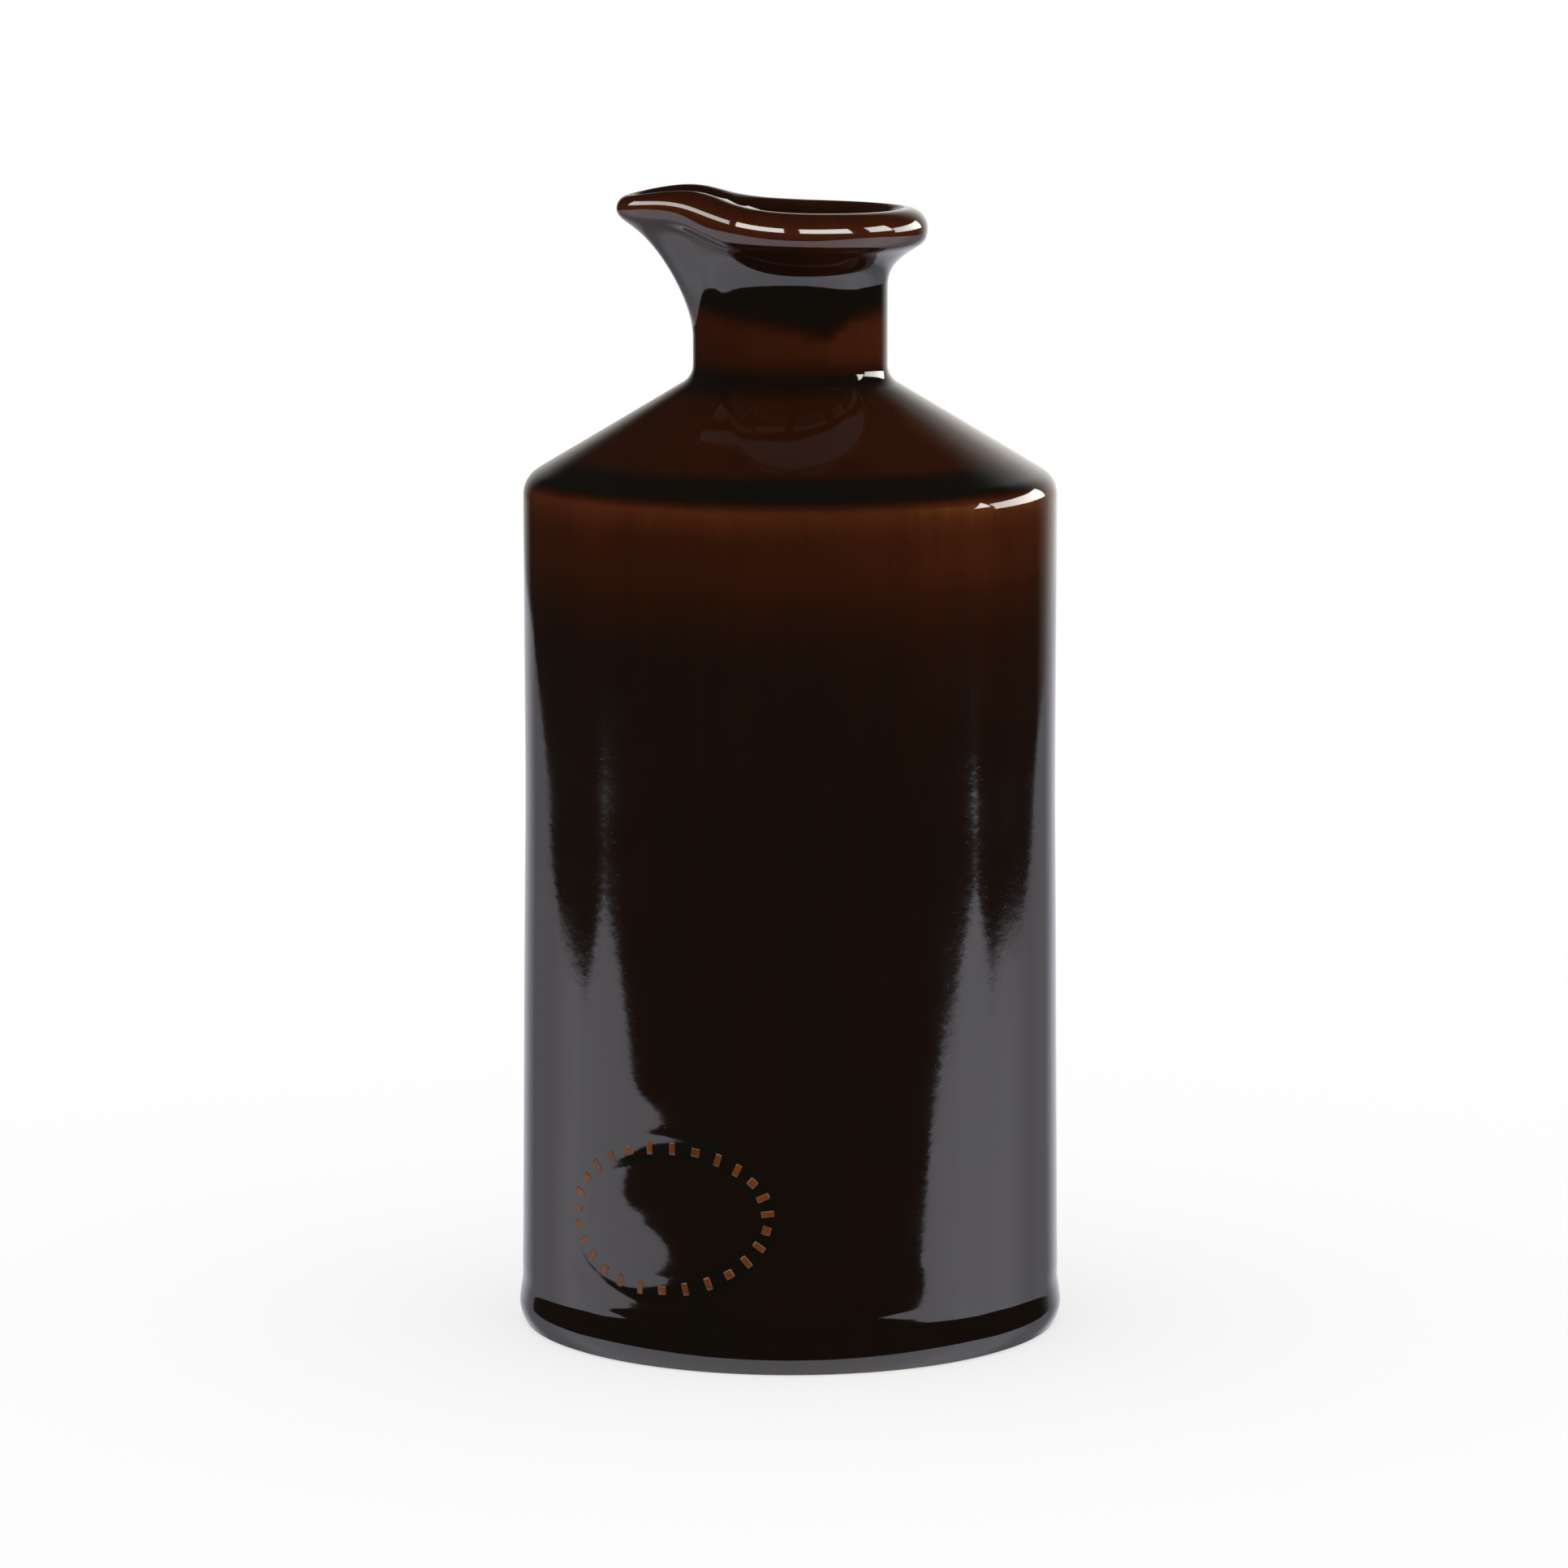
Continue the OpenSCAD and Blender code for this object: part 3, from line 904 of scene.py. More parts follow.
@dataclass
class GlazeCoat:
    """The coat of glaze outside, from the line where it was wiped off up to the lip."""

    hand: HandMade
    seal: Seal
    seal_columns: float = 0.36
    plain_columns: float = 1.55
    seal_reach: float = 27
    line_z: float = 11.1
    line_width: float = 1.3
    line_height: float = 0.04
    line_fade: float = 9

    def build(self, material: bpy.types.Material) -> None:
        """Makes the coat.

        Args:
            material: The glaze.
        """
        headings = self._headings()
        outline = self._outline()
        rows = outline.resampled(self._spacing)
        rise = smooth_step(rows[:, 1], self.line_z - self.line_width, self.line_z)
        fall = smooth_step(rows[:, 1], self.line_z, self.line_z + self.line_fade)
        rows[:, 0] += self.line_height * (rise - fall)
        inner = outline.resampled(lambda z: self._spacing(z) * 3.2)
        grid_h, grid_z = np.meshgrid(headings, rows[:, 1])
        inner_h, inner_z = np.meshgrid(headings, inner[:, 1])
        depth = self._seal_zone(grid_z) * self.seal.depth(grid_h, grid_z)
        under = SIZES.glaze_t + self._seal_zone(inner_z) * (
            self.seal.coat_depth(inner_h, inner_z) - SIZES.glaze_t)
        pool = GlazePools.at(grid_h, grid_z)
        pool = pool + (0.97 - pool) * self.seal.pool(grid_h, grid_z) * self._seal_zone(grid_z)
        free = smooth_step(grid_z, 2, 9)
        maker = MeshMaker()
        columns = len(headings)
        first = maker.add_points(around(rows, headings, depth),
                                 **{POOL: pool.ravel(), HAND: free.ravel()})
        maker.add_points(around(inner[::-1], headings, -under[::-1]), **{POOL: 0.9, HAND: 0.0})
        maker.add_grid(first, len(rows) + len(inner), columns, closed=True)
        keep(self.hand.work(maker.finish("glaze_coat"), material), Slot.BROWN_GLAZE, "outer_glaze")

    @staticmethod
    def _outline() -> Outline:
        """The outside from the wiped line to the joint of the lip."""
        s = SIZES
        full = Outline([
            (s.foot_r, 0, 0),
            (s.heel_r, s.heel_z, s.heel_round),
            (s.ankle_r, s.ankle_z, 0),
            (s.body_r, s.waist_z, 0),
            (s.body_r, s.shoulder_z, s.shoulder_round),
            (s.neck_r, s.neck_z, s.neck_fillet),
            (s.neck_r, s.lip_joint_z, 0),
        ])
        soft = full.softened(0.6, 6, 40).softened(7, 50, 150).points
        above = soft[soft[:, 1] > s.glaze_line_z]
        start = [np.interp(s.glaze_line_z, soft[:40, 1], soft[:40, 0]), s.glaze_line_z]
        made = Outline([])
        made.points = np.vstack([start, above])
        return made

    @staticmethod
    def _spacing(z: np.ndarray) -> np.ndarray:
        """Distance between rows at given heights."""
        steps: Pairs = (
            (0, 0.45), (12, 0.45), (13, 0.42), (44.5, 0.42), (48, 2.4), (153, 2.4), (157, 0.45),
            (165, 0.45), (168, 1.8), (175, 1.8), (178, 0.5), (183, 0.5), (185, 1.2), (189, 1.2),
        )
        return between(steps, z)

    @staticmethod
    def _seal_zone(z: np.ndarray) -> np.ndarray:
        """Fades the seal out towards the heel."""
        return smooth_step(z, 8.5, 11) * (z < 60)

    def _headings(self) -> np.ndarray:
        """Angles of the columns, close together over the seal."""
        steps: Pairs = (
            (-180, self.plain_columns), (-self.seal_reach - 3, self.plain_columns),
            (-self.seal_reach, self.seal_columns), (self.seal_reach, self.seal_columns),
            (self.seal_reach + 3, self.plain_columns), (180, self.plain_columns),
        )
        fine = np.linspace(-180, 180, 36001)
        amount = np.concatenate([[0], np.cumsum(0.01 / between(steps, fine[1:]))])
        count = int(round(amount[-1]))
        places = np.interp(np.arange(count) / count * amount[-1], amount, fine)
        return np.radians(places) + self.seal.heading


@dataclass
class PouringLip:
    """The lip: round at the back, pinched beside the spout and pulled out into it."""

    hand: HandMade
    rim_flare: float = 3.55
    rim_rise: float = 24.2
    rim_edge_r: float = 3.9
    spout_edge_r: float = 2.55
    spout_reach: float = 8.25
    spout_spread: float = 21.5
    pinch_depth: float = 1.65
    pinch_angle: float = 48
    pinch_spread: float = 24
    lift: float = 6.95
    lift_spread: float = 50
    tip_drop: float = 4.6
    tip_spread: float = 25.5
    flare_slope: Tuple[float, float] = (36, 38)
    flare_drop: Tuple[float, float] = (4.5, 3.8)
    flare_inset: Tuple[float, float] = (-0.25, 1)
    neck_rise: Tuple[float, float] = (8.8, 0)
    neck_pull: Tuple[float, float] = (3.4, 6)
    flare_pull: Tuple[float, float] = (3.9, 6.5)
    flank_spread: float = 50
    pinch_under: float = 0.9
    straight_steps: int = 6
    flare_run: float = 2.6
    edge_pull: Tuple[float, float] = (2.9, 1.6)
    edge_sweep: Tuple[float, float] = (180, 125)
    throat_pull: Tuple[float, float] = (4.3, 12)
    bore_pull: Tuple[float, float] = (8, 4)
    throat_rise: float = 7
    throat_end: float = 2
    sectors: int = 288
    neck_steps: int = 26
    flare_steps: int = 22
    edge_steps: int = 24
    throat_steps: int = 22

    def build(self, material: bpy.types.Material) -> None:
        """Makes the glazed lip as one closed ring.

        Args:
            material: The glaze.
        """
        turns = np.arange(self.sectors) / self.sectors * 360
        sections = [self._section(180 - abs(t - 180)) for t in turns]
        rows = len(sections[0][0])
        outside = np.stack([s[0] for s in sections], axis=1)
        pool = np.stack([s[1] for s in sections], axis=1)
        heading = np.radians(180 + turns)
        maker = MeshMaker()
        flank = GlazePools.at(np.broadcast_to(heading, pool.shape), outside[..., 1])
        pool = np.where(np.isnan(pool), flank, pool)
        free = np.ones(rows)
        throat = rows - self.throat_steps - 1
        free[throat:] = np.linspace(1, 0, rows - throat)
        maker.add_points(self._turned(outside, heading), **{
            POOL: pool.ravel(), HAND: np.repeat(free, self.sectors)})
        maker.add_grid(0, rows, self.sectors, closed=True)
        keep(self.hand.work(maker.finish("glaze_lip"), material), Slot.BROWN_GLAZE,
             "lip_glaze", "pouring_lip")

    @staticmethod
    def _turned(sections: np.ndarray, heading: np.ndarray) -> np.ndarray:
        """Places of sections' points round the axis."""
        r = sections[..., 0]
        points = np.stack([r * np.cos(heading), r * np.sin(heading), sections[..., 1]], axis=-1)
        return points.reshape(-1, 3)

    @staticmethod
    def _bezier(p: Sequence[np.ndarray], steps: int) -> np.ndarray:
        """Points on a cubic curve, the first left out.

        Args:
            p: The curve's four points.
            steps: Number of points.

        Returns:
            The points in order.
        """
        t = np.linspace(0, 1, steps + 1)[1:, None]
        u = 1 - t
        return u**3 * p[0] + 3 * t * u**2 * p[1] + 3 * t * t * u * p[2] + t**3 * p[3]

    def _pinch(self, angle: float) -> float:
        """How far the rim is pressed in beside the spout."""
        return self.pinch_depth * float(bump(angle - self.pinch_angle, self.pinch_spread))

    def _crest(self, angle: float) -> Tuple[float, float]:
        """Radius and height of the top of the rim at an angle from the spout."""
        r = SIZES.neck_r + self.rim_flare + self.spout_reach * bump(angle, self.spout_spread)
        r -= self._pinch(angle)
        z = SIZES.lip_joint_z + self.rim_rise + self.lift * bump(angle, self.lift_spread)
        z -= self.tip_drop * bump(angle, self.tip_spread)
        return float(r), float(z)

    def _section(self, angle: float) -> Tuple[np.ndarray, np.ndarray]:
        """Section of the lip from the joint outside, over the rim, to the joint inside.

        Args:
            angle: Angle from the spout, in degrees.

        Returns:
            Points, and the glaze's depth at each, not a number on the flank.
        """
        share = float(bump(angle, 1.6 * self.spout_spread))
        edge_r = mix((self.rim_edge_r, self.spout_edge_r), share)
        crest_r, crest_z = self._crest(angle)
        centre = np.array([crest_r, crest_z - edge_r])
        slope = math.radians(mix(self.flare_slope, share))
        along = np.array([math.cos(slope), math.sin(slope)])
        under = self.pinch_under * self._pinch(angle) - mix(self.flare_inset, share)
        turn_in = centre + [under, -mix(self.flare_drop, share)]
        foot = np.array([SIZES.neck_r, SIZES.lip_joint_z])
        flank = float(bump(angle, self.flank_spread))
        bend = foot + [0, mix(self.neck_rise, flank)]
        pull = min(mix(self.flare_pull, flank), (turn_in[0] - foot[0]) / along[0])
        neck_side = (bend, bend + [0, mix(self.neck_pull, flank)], turn_in - along * pull, turn_in)
        flare = (turn_in, turn_in + along * self.flare_run,
                 centre + [edge_r, -mix(self.edge_pull, share)], centre + [edge_r, 0])
        sweep = math.radians(mix(self.edge_sweep, share))
        edge_end = centre + edge_r * np.array([math.cos(sweep), math.sin(sweep)])
        throat_end = np.array([SIZES.bore_r, SIZES.lip_joint_z + self.throat_rise])
        pulled = np.array([-math.sin(sweep), math.cos(sweep)]) * mix(self.throat_pull, share)
        throat = (edge_end, edge_end + pulled, throat_end + [0, mix(self.bore_pull, share)], throat_end)
        up = np.linspace(0, 1, self.straight_steps)[:, None]
        turn = sweep * np.linspace(0, 1, self.edge_steps + 1)[1:]
        points = np.concatenate([
            foot + (bend - foot) * up,
            self._bezier(neck_side, self.neck_steps),
            self._bezier(flare, self.flare_steps),
            centre + edge_r * np.column_stack([np.cos(turn), np.sin(turn)]),
            self._bezier(throat, self.throat_steps),
            np.array([[SIZES.bore_r, SIZES.lip_joint_z]]),
        ])
        return points, self._pools(points, share)

    def _pools(self, points: np.ndarray, share: float) -> np.ndarray:
        """Depth of the glaze along one section: thin on the bead and deep in the throat."""
        pool = np.full(len(points), np.nan)
        bead = self.straight_steps + self.neck_steps + self.flare_steps
        low = bead - self.flare_steps // 2
        pool[low:bead] = np.linspace(0.60, 0.36, bead - low)
        edge = np.linspace(0, 1, self.edge_steps)
        pool[bead:bead + self.edge_steps] = 0.36 + 0.16 * np.sin(np.pi * edge) + 0.42 * edge**3
        inside = np.linspace(0, 1, self.throat_steps + 1)
        pool[bead + self.edge_steps:] = 0.78 + 0.16 * smooth_step(inside, 0.0, 0.35) - 0.34 * share
        return pool


@dataclass
class InnerCoat:
    """The coat of glaze inside the bottle, from the middle of the floor up the bore."""

    columns: int = 160

    def build(self, material: bpy.types.Material) -> None:
        """Makes the inner coat as one closed shell.

        Args:
            material: The glaze.
        """
        s = SIZES
        inside_r = s.body_r - s.wall_t
        corners = [
            (0, s.floor_z, 0),
            (inside_r, s.floor_z, s.floor_round),
            (inside_r, s.cone_inside_z(inside_r), s.under_shoulder_round),
            (s.bore_r, s.cone_inside_z(s.bore_r), s.bore_round),
            (s.bore_r, s.lip_joint_z, 0),
        ]
        line = Outline(corners)
        steps: Pairs = ((0, 2.2), (8, 2.0), (10, 0.9), (14, 1.0), (18, 4.0), (145, 4.0), (152, 0.9),
                        (162, 1.0), (166, 2.2), (175, 1.6), (177, 0.4), (181, 0.5), (190, 1.5))
        rows = line.resampled(lambda z: between(steps, z))[1:]
        headings = np.arange(self.columns) / self.columns * 2 * math.pi
        turned = around(rows, headings)
        buried = around(rows, headings, np.full((len(rows), self.columns), s.glaze_t))
        maker = MeshMaker()
        first = maker.add_points(turned, **{POOL: 0.8})
        pole = maker.add_points(np.array([[0, 0, s.floor_z]]), **{POOL: 0.8})
        back = maker.add_points(buried, **{POOL: 0.8})
        under = maker.add_points(np.array([[0, 0, s.floor_z - s.glaze_t]]), **{POOL: 0.8})
        count = len(rows)
        n = self.columns
        maker.faces.extend(self._ring(first, count, n, outwards=False))
        maker.add_cap(first, n, pole, up=True)
        maker.faces.extend(self._ring(back, count, n, outwards=True))
        maker.add_cap(back, n, under, up=False)
        top_in = first + (count - 1) * n
        top_out = back + (count - 1) * n
        for j in range(n):
            k = (j + 1) % n
            maker.faces.append((top_in + k, top_in + j, top_out + j, top_out + k))
        piece = maker.finish("glaze_inside")
        piece.data.materials.append(material)
        keep(piece, Slot.INNER_GLAZE, "inner_glaze")

    @staticmethod
    def _ring(first: int, rows: int, n: int, outwards: bool) -> List[Tuple[int, ...]]:
        """Faces between rows of points that face the axis or away from it."""
        made = []
        for i in range(rows - 1):
            low, high = first + i * n, first + (i + 1) * n
            for j in range(n):
                k = (j + 1) % n
                face = (low + j, low + k, high + k, high + j)
                made.append(face if outwards else face[::-1])
        return made


class MarkRing(NodeTree):
    """Bars and dots on an oval that is wrapped on the wall, two bars and a dot over and over."""

    NAME = "Ring of marks"
    INPUTS = {
        "Count": ("NodeSocketInt", 27),
        "Half width": ("NodeSocketFloat", 0.0209),
        "Half height": ("NodeSocketFloat", 0.0134),
        "Wall radius": ("NodeSocketFloat", 0.0512),
        "Wrap radius": ("NodeSocketFloat", 0.0512),
        "Lean": ("NodeSocketFloat", 0.0),
        "Heading": ("NodeSocketFloat", 0.0),
        "Height": ("NodeSocketFloat", 0.0283),
        "Tilt": ("NodeSocketFloat", 0.0),
        "Bar length": ("NodeSocketFloat", 0.0029),
        "Bar width": ("NodeSocketFloat", 0.0011),
        "Dot radius": ("NodeSocketFloat", 0.00085),
        "Thickness": ("NodeSocketFloat", 0.001),
        "Seed": ("NodeSocketInt", 11),
        "Material": ("NodeSocketMaterial", None),
    }

    def build(self, given: Dict[str, bpy.types.NodeSocket]) -> bpy.types.NodeSocket:
        """Places one pillow for each mark, a bar or a dot, square to the wall."""
        w = self.wiring
        index = w.node("GeometryNodeInputIndex").outputs[0]
        angle = w.maths("DIVIDE", w.maths("MULTIPLY", index, math.tau), given["Count"])
        across = w.maths("MULTIPLY", w.maths("COSINE", angle), given["Half width"])
        up = w.maths("MULTIPLY", w.maths("SINE", angle), given["Half height"])
        cos_t = w.maths("COSINE", given["Tilt"])
        sin_t = w.maths("SINE", given["Tilt"])
        along = w.maths("SUBTRACT", w.maths("MULTIPLY", across, cos_t), w.maths("MULTIPLY", up, sin_t))
        rise = w.maths("ADD", w.maths("MULTIPLY", across, sin_t), w.maths("MULTIPLY", up, cos_t))
        wrapped = w.maths("DIVIDE", along, given["Wrap radius"])
        heading = w.maths("ADD", given["Heading"], wrapped)
        radius = w.maths("SUBTRACT", given["Wall radius"], w.maths("MULTIPLY", rise, given["Lean"]))
        x = w.maths("MULTIPLY", radius, w.maths("COSINE", heading))
        y = w.maths("MULTIPLY", radius, w.maths("SINE", heading))
        z = w.maths("ADD", given["Height"], rise)
        place = w.node("ShaderNodeCombineXYZ", {0: x, 1: y, 2: z}).outputs[0]
        points = w.node("GeometryNodePoints", {"Count": given["Count"], "Position": place})
        normal_turn = w.maths("ARCTAN2", w.maths("DIVIDE", w.maths("SINE", angle), given["Half height"]),
                              w.maths("DIVIDE", w.maths("COSINE", angle), given["Half width"]))
        turn = w.maths("ADD", normal_turn, given["Tilt"])
        wobble = w.node("FunctionNodeRandomValue", {"Min": -0.09, "Max": 0.09, "ID": index,
                                                    "Seed": given["Seed"]}, data_type="FLOAT")
        turn = w.maths("ADD", turn, self._float_output(wobble))
        face = w.node("ShaderNodeCombineXYZ", {0: w.maths("COSINE", heading),
                                               1: w.maths("SINE", heading), 2: 0.0}).outputs[0]
        side = w.node("ShaderNodeCombineXYZ", {0: w.maths("MULTIPLY", w.maths("SINE", heading), -1),
                                               1: w.maths("COSINE", heading), 2: 0.0}).outputs[0]
        bar_way = self._mixed_way(side, turn)
        aim = w.node("FunctionNodeAxesToRotation", {0: face, 1: bar_way}, primary_axis="Z",
                     secondary_axis="X")
        kind = w.maths("COMPARE", w.maths("MODULO", index, 3), 2, 0.1)
        length = self._pick(kind, given["Bar length"], w.maths("MULTIPLY", given["Dot radius"], 2))
        width = self._pick(kind, given["Bar width"], w.maths("MULTIPLY", given["Dot radius"], 2))
        size = w.node("ShaderNodeCombineXYZ", {0: length, 1: width, 2: given["Thickness"]}).outputs[0]
        cube = w.node("GeometryNodeMeshCube", {"Size": (1.0, 1.0, 1.0)})
        pillow = w.node("GeometryNodeSubdivisionSurface", {"Mesh": cube.outputs[0], "Level": 3,
                                                           "Edge Crease": 0.62})
        smooth = w.node("GeometryNodeSetShadeSmooth", {"Geometry": pillow.outputs[0]})
        placed = w.node("GeometryNodeInstanceOnPoints", {
            "Points": points.outputs[0], "Instance": smooth.outputs[0],
            "Rotation": aim.outputs[0], "Scale": size})
        return placed.outputs[0]

    @staticmethod
    def _float_output(node: bpy.types.Node) -> bpy.types.NodeSocket:
        """The output of a random node that is a plain number and in use."""
        return next(s for s in node.outputs if s.type == "VALUE" and s.enabled)

    def _pick(self, share: Feed, first: Feed, second: Feed) -> bpy.types.NodeSocket:
        """The first value at share 0 and the second at share 1."""
        w = self.wiring
        gap = w.maths("SUBTRACT", second, first)
        return w.maths("ADD", first, w.maths("MULTIPLY", gap, share))

    def _mixed_way(self, side: Feed, turn: Feed) -> bpy.types.NodeSocket:
        """Direction along the wall, turned up from its level direction by an angle."""
        w = self.wiring
        level = w.node("ShaderNodeVectorMath", {0: side}, operation="SCALE")
        w.feed(level.inputs["Scale"], w.maths("COSINE", turn))
        upright = w.node("ShaderNodeCombineXYZ", {0: 0.0, 1: 0.0, 2: w.maths("SINE", turn)})
        return w.vector_maths("ADD", level.outputs[0], upright.outputs[0])


@dataclass
class SealMarks:
    """The raised bars and dots of the seal, which stand in its pressed band."""

    seal: Seal
    count: int = 27
    bar_length: float = 2.5
    bar_width: float = 1.2
    dot_r: float = 0.85
    thickness: float = 1.1
    top_depth: float = 0.12
    seed: int = 11

    def build(self, material: bpy.types.Material) -> None:
        """Makes all the marks as one piece.

        Args:
            material: The thin glaze over them.
        """
        start = bpy.data.objects.new("seal_ring", bpy.data.meshes.new("seal_ring"))
        bpy.context.scene.collection.objects.link(start)
        s = self.seal
        lean = (SIZES.ankle_r - SIZES.body_r) / (SIZES.waist_z - SIZES.ankle_z)
        wall_r = SIZES.ankle_r - lean * (s.z - SIZES.ankle_z)
        piece = MarkRing().run(
            start,
            Count=self.count,
            Half_width=s.half_w * MM,
            Half_height=s.half_h * MM,
            Wall_radius=(wall_r - self.top_depth - self.thickness / 2) * MM,
            Wrap_radius=SIZES.wrap_r * MM,
            Lean=lean,
            Heading=s.heading,
            Height=s.z * MM,
            Tilt=math.radians(s.tilt),
            Bar_length=self.bar_length * MM,
            Bar_width=self.bar_width * MM,
            Dot_radius=self.dot_r * MM,
            Thickness=self.thickness * MM,
            Seed=self.seed,
            Material=material,
        )
        keep(piece, Slot.THIN_GLAZE, "seal_marks")


class ClayParts:
    """The thrown clay, whose CAD shapes stay."""

    COVERED = ("body_wall", "shoulder", "neck")
    BARE = ("foot_ring", "base_disc")

    def build(self, finishes: Finishes) -> None:
        """Dresses the clay.

        Args:
            finishes: The bottle's materials.
        """
        for names, material in ((self.COVERED, finishes.covered), (self.BARE, finishes.bare)):
            for name in names:
                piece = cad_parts[name]
                piece.data.materials.clear()
                piece.data.materials.append(material)
                LOG.info("%s: CAD shape in %s", name, material.name)


@dataclass(frozen=True)
class Window:
    """A bright window that the glaze mirrors, by its angles from the front and above level."""

    left: float
    right: float
    low: float
    high: float
    strength: float
    soft: float = 1.2


@dataclass(frozen=True)
class DarkShelf:
    """A level card, dark from below, which keeps the windows off all but the lip."""

    height: float = 208.6
    inner_r: float = 58
    outer_r: float = 340
    start: int = -140
    end: int = 80
    step: int = 4


@dataclass
class Studio:
    """The pale floor, the plain soft light, the room that the glaze mirrors, and the camera."""

    windows: Tuple[Window, ...] = (
        Window(-62, -9.4, 10.5, 31, 12),
        Window(7.4, 54, 10.5, 31, 12),
        Window(72, 96, 11, 31, 10),
        Window(99, 142, 3, 17, 7),
        Window(-107, -70, 11, 27, 7),
    )
    shelf: DarkShelf = DarkShelf()
    second_share: float = 0.07
    # Height of the table's far edge as the glaze mirrors it, by the angle from the front
    table_edge: Pairs = (
        (-180, -6.2), (-148, -7.1), (-132, -8.2), (-117, -9.0), (-99, -9.45), (-95, -9.25),
        (-92, -8.85), (-87, -8.4), (-82, -8.7), (-77.5, -9.1), (-74, -9.7), (-69.5, -10.4), (-56, -13.0),
        (-40, -17.0), (-20, -20.5), (0, -22.0), (20, -20.5), (40, -16.0), (54, -12.2), (58, -11.3),
        (64, -10.3), (70, -9.6), (76, -9.2), (81.5, -8.8), (86.5, -8.4), (90, -8.8), (94, -9.15),
        (97, -9.3), (104, -9.1), (119, -8.95), (129, -8.5), (137, -7.8), (149, -7.3), (180, -6.0),
    )
    table_light: Pairs = (
        (-180, 0.95), (-160, 0.75), (-145, 0.34), (-125, 0.60), (-106, 1.25), (-80, 1.45), (-50, 1.5),
        (0, 1.5), (50, 1.6), (80, 1.75), (106, 1.3), (125, 0.62), (145, 0.40), (160, 0.95), (180, 1.2),
    )
    table_colour: Colour = (0.84, 0.83, 0.92)
    room_colour: Colour = (1.0, 0.98, 0.92)
    room_light: float = 0.012
    backdrop_light: float = 1.0
    camera_back: float = 1.2431
    camera_height: float = 0.29005
    camera_aside: float = -0.0012
    camera_pitch: float = 8.558
    lens: float = 151.83
    floor_size: float = 6.0
    floor_white: float = 0.62

    def build(self) -> None:
        """Makes the whole setting."""
        self._camera()
        self._floor()
        self._shelf()
        self._world()
        bpy.context.scene.view_settings.view_transform = "Standard"

    def _camera(self) -> None:
        """Puts the camera where the photograph was taken."""
        data = bpy.data.cameras.new("Camera")
        data.lens = self.lens
        data.sensor_width = 36
        data.clip_start = 0.05
        data.clip_end = 50
        camera = bpy.data.objects.new("Camera", data)
        camera.location = (self.camera_aside, -self.camera_back, self.camera_height)
        camera.rotation_euler = (math.radians(90 - self.camera_pitch), 0, 0)
        bpy.context.scene.collection.objects.link(camera)
        bpy.context.scene.camera = camera

    def _floor(self) -> None:
        """Lays the floor: white to the camera, with the bottle's soft shadow."""
        half = self.floor_size / 2
        mesh = bpy.data.meshes.new("floor")
        mesh.from_pydata([(-half, -half, 0), (half, -half, 0), (half, half, 0), (-half, half, 0)],
                         [], [(0, 1, 2, 3)])
        floor = bpy.data.objects.new("floor", mesh)
        bpy.context.scene.collection.objects.link(floor)
        made = bpy.data.materials.new("Floor")
        made.use_nodes = True
        made.node_tree.nodes.clear()
        w = Wiring(made.node_tree)
        plain = w.node("ShaderNodeBsdfDiffuse", {"Color": (1, 1, 1, 1)})
        white = w.node("ShaderNodeEmission", {"Color": (1, 1, 1, 1), "Strength": 1.0})
        path = w.node("ShaderNodeLightPath")
        share = w.maths("MULTIPLY", path.outputs["Is Camera Ray"], self.floor_white)
        both = w.node("ShaderNodeMixShader", {0: share, 1: plain.outputs[0], 2: white.outputs[0]})
        w.node("ShaderNodeOutputMaterial", {"Surface": both.outputs[0]})
        mesh.materials.append(made)
        floor.visible_glossy = False

    def _shelf(self) -> None:
        """Hangs the dark shelf, which only mirrored rays from below meet."""
        shelf = self.shelf
        made = bpy.data.materials.new("Dark shelf")
        made.use_nodes = True
        made.node_tree.nodes.clear()
        w = Wiring(made.node_tree)
        dark = w.node("ShaderNodeEmission", {"Color": (1, 1, 1, 1), "Strength": self.room_light})
        clear = w.node("ShaderNodeBsdfTransparent")
        top = w.node("ShaderNodeNewGeometry").outputs["Backfacing"]
        both = w.node("ShaderNodeMixShader", {0: top, 1: dark.outputs[0], 2: clear.outputs[0]})
        w.node("ShaderNodeOutputMaterial", {"Surface": both.outputs[0]})
        angles = np.radians(np.arange(shelf.start, shelf.end + 1, shelf.step) - 90)
        points = [(r * math.cos(a) * MM, r * math.sin(a) * MM, shelf.height * MM)
                  for r in (shelf.inner_r, shelf.outer_r) for a in angles]
        n = len(angles)
        mesh = bpy.data.meshes.new("dark_shelf")
        mesh.from_pydata(points, [], [(i, i + 1, n + i + 1, n + i) for i in range(n - 1)])
        mesh.materials.append(made)
        card = bpy.data.objects.new("dark_shelf", mesh)
        bpy.context.scene.collection.objects.link(card)
        card.visible_camera = False
        card.visible_diffuse = False
        card.visible_shadow = False
        card.visible_transmission = False

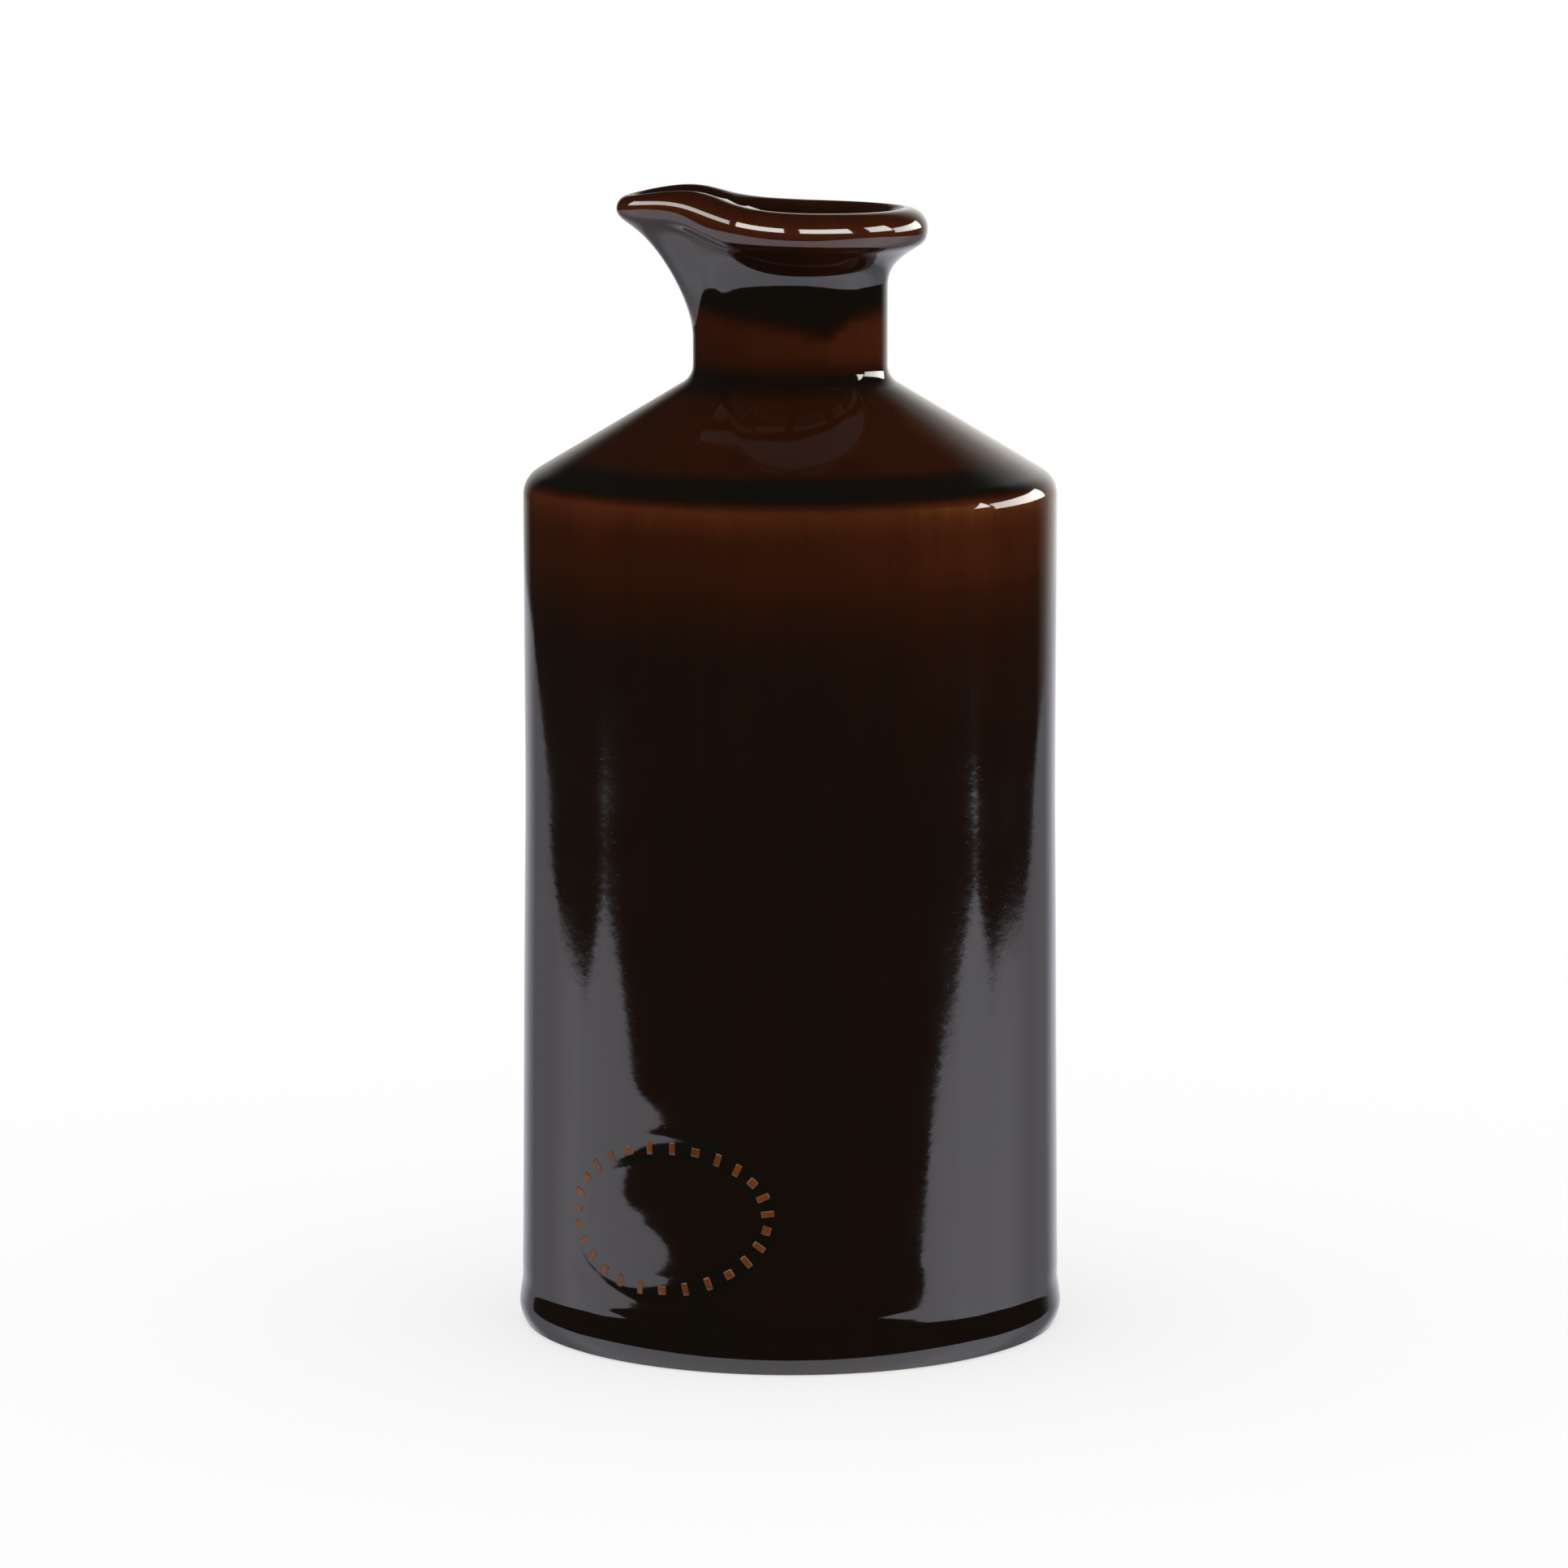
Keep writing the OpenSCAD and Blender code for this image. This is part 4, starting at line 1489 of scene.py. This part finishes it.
    def _world(self) -> None:
        """Lights the bottle evenly, and gives the glaze a dim room with windows to mirror."""
        world = bpy.data.worlds.new("Studio")
        world.use_nodes = True
        world.node_tree.nodes.clear()
        bpy.context.scene.world = world
        w = Wiring(world.node_tree)
        way = w.node("ShaderNodeSeparateXYZ", {0: w.node("ShaderNodeTexCoord").outputs["Generated"]})
        x, y, z = way.outputs
        azimuth = w.maths("DEGREES", w.maths("ARCTAN2", x, w.maths("MULTIPLY", y, -1)))
        elevation = w.maths("DEGREES", w.maths("ARCSINE", z))
        edge = w.curve(azimuth, self.table_edge)
        table = w.ranged(w.maths("SUBTRACT", edge, elevation), (0, 0.25), (0, 1), smooth=True)
        light = w.maths("MULTIPLY", w.curve(azimuth, self.table_light), table)
        panes: Feed = 0.0
        for pane in self.windows:
            seen = w.maths("MULTIPLY", w.band(azimuth, pane.left, pane.right, pane.soft),
                           w.band(elevation, pane.low, pane.high, pane.soft))
            panes = w.maths("ADD", panes, w.maths("MULTIPLY", seen, pane.strength))
        path = w.node("ShaderNodeLightPath")
        again = w.maths("GREATER_THAN", path.outputs["Glossy Depth"], 1.5)
        panes = w.maths("MULTIPLY", panes, w.ranged(again, (0, 1), (1, self.second_share)))
        behind = self._backdrop(w, azimuth, elevation)
        above = w.maths("SUBTRACT", 1, table)
        dim = w.maths("MULTIPLY", w.maths("ADD", w.maths("ADD", panes, self.room_light), behind), above)
        table_part = w.node("ShaderNodeBackground", {"Color": (*self.table_colour, 1),
                                                     "Strength": light})
        room_part = w.node("ShaderNodeBackground", {"Color": (*self.room_colour, 1), "Strength": dim})
        room = w.node("ShaderNodeAddShader", {0: table_part.outputs[0], 1: room_part.outputs[0]})
        plain = w.node("ShaderNodeBackground", {"Color": (1, 1, 1, 1), "Strength": 1.0})
        both = w.node("ShaderNodeMixShader", {0: path.outputs["Is Glossy Ray"],
                                              1: plain.outputs[0], 2: room.outputs[0]})
        w.node("ShaderNodeOutputWorld", {"Surface": both.outputs[0]})

    def _backdrop(self, w: Wiring, azimuth: Feed, elevation: Feed) -> bpy.types.NodeSocket:
        """Light of the white backdrop behind the bottle, higher on the side away from the spout."""
        right = w.ranged(azimuth, (132, 168), (0, 1), smooth=True)
        right = w.maths("MULTIPLY", right, w.ranged(elevation, (4, 42), (1, 0), smooth=True))
        left = w.ranged(azimuth, (-172, -150), (0.55, 0), smooth=True)
        left = w.maths("MULTIPLY", left, w.ranged(elevation, (2, 22), (1, 0), smooth=True))
        return w.maths("MULTIPLY", w.maths("ADD", right, left), self.backdrop_light)


def main() -> None:
    """Builds the bottle, its setting and its looks in order."""
    logging.basicConfig(level=logging.INFO, format="%(name)s: %(message)s")
    Studio().build()
    finishes = Finishes()
    hand = HandMade()
    seal = Seal()
    GlazeCoat(hand, seal).build(finishes.outside)
    PouringLip(hand).build(finishes.outside)
    InnerCoat().build(finishes.inside)
    SealMarks(seal).build(finishes.marks)
    ClayParts().build(finishes)


if __name__ == "__main__":
    main()
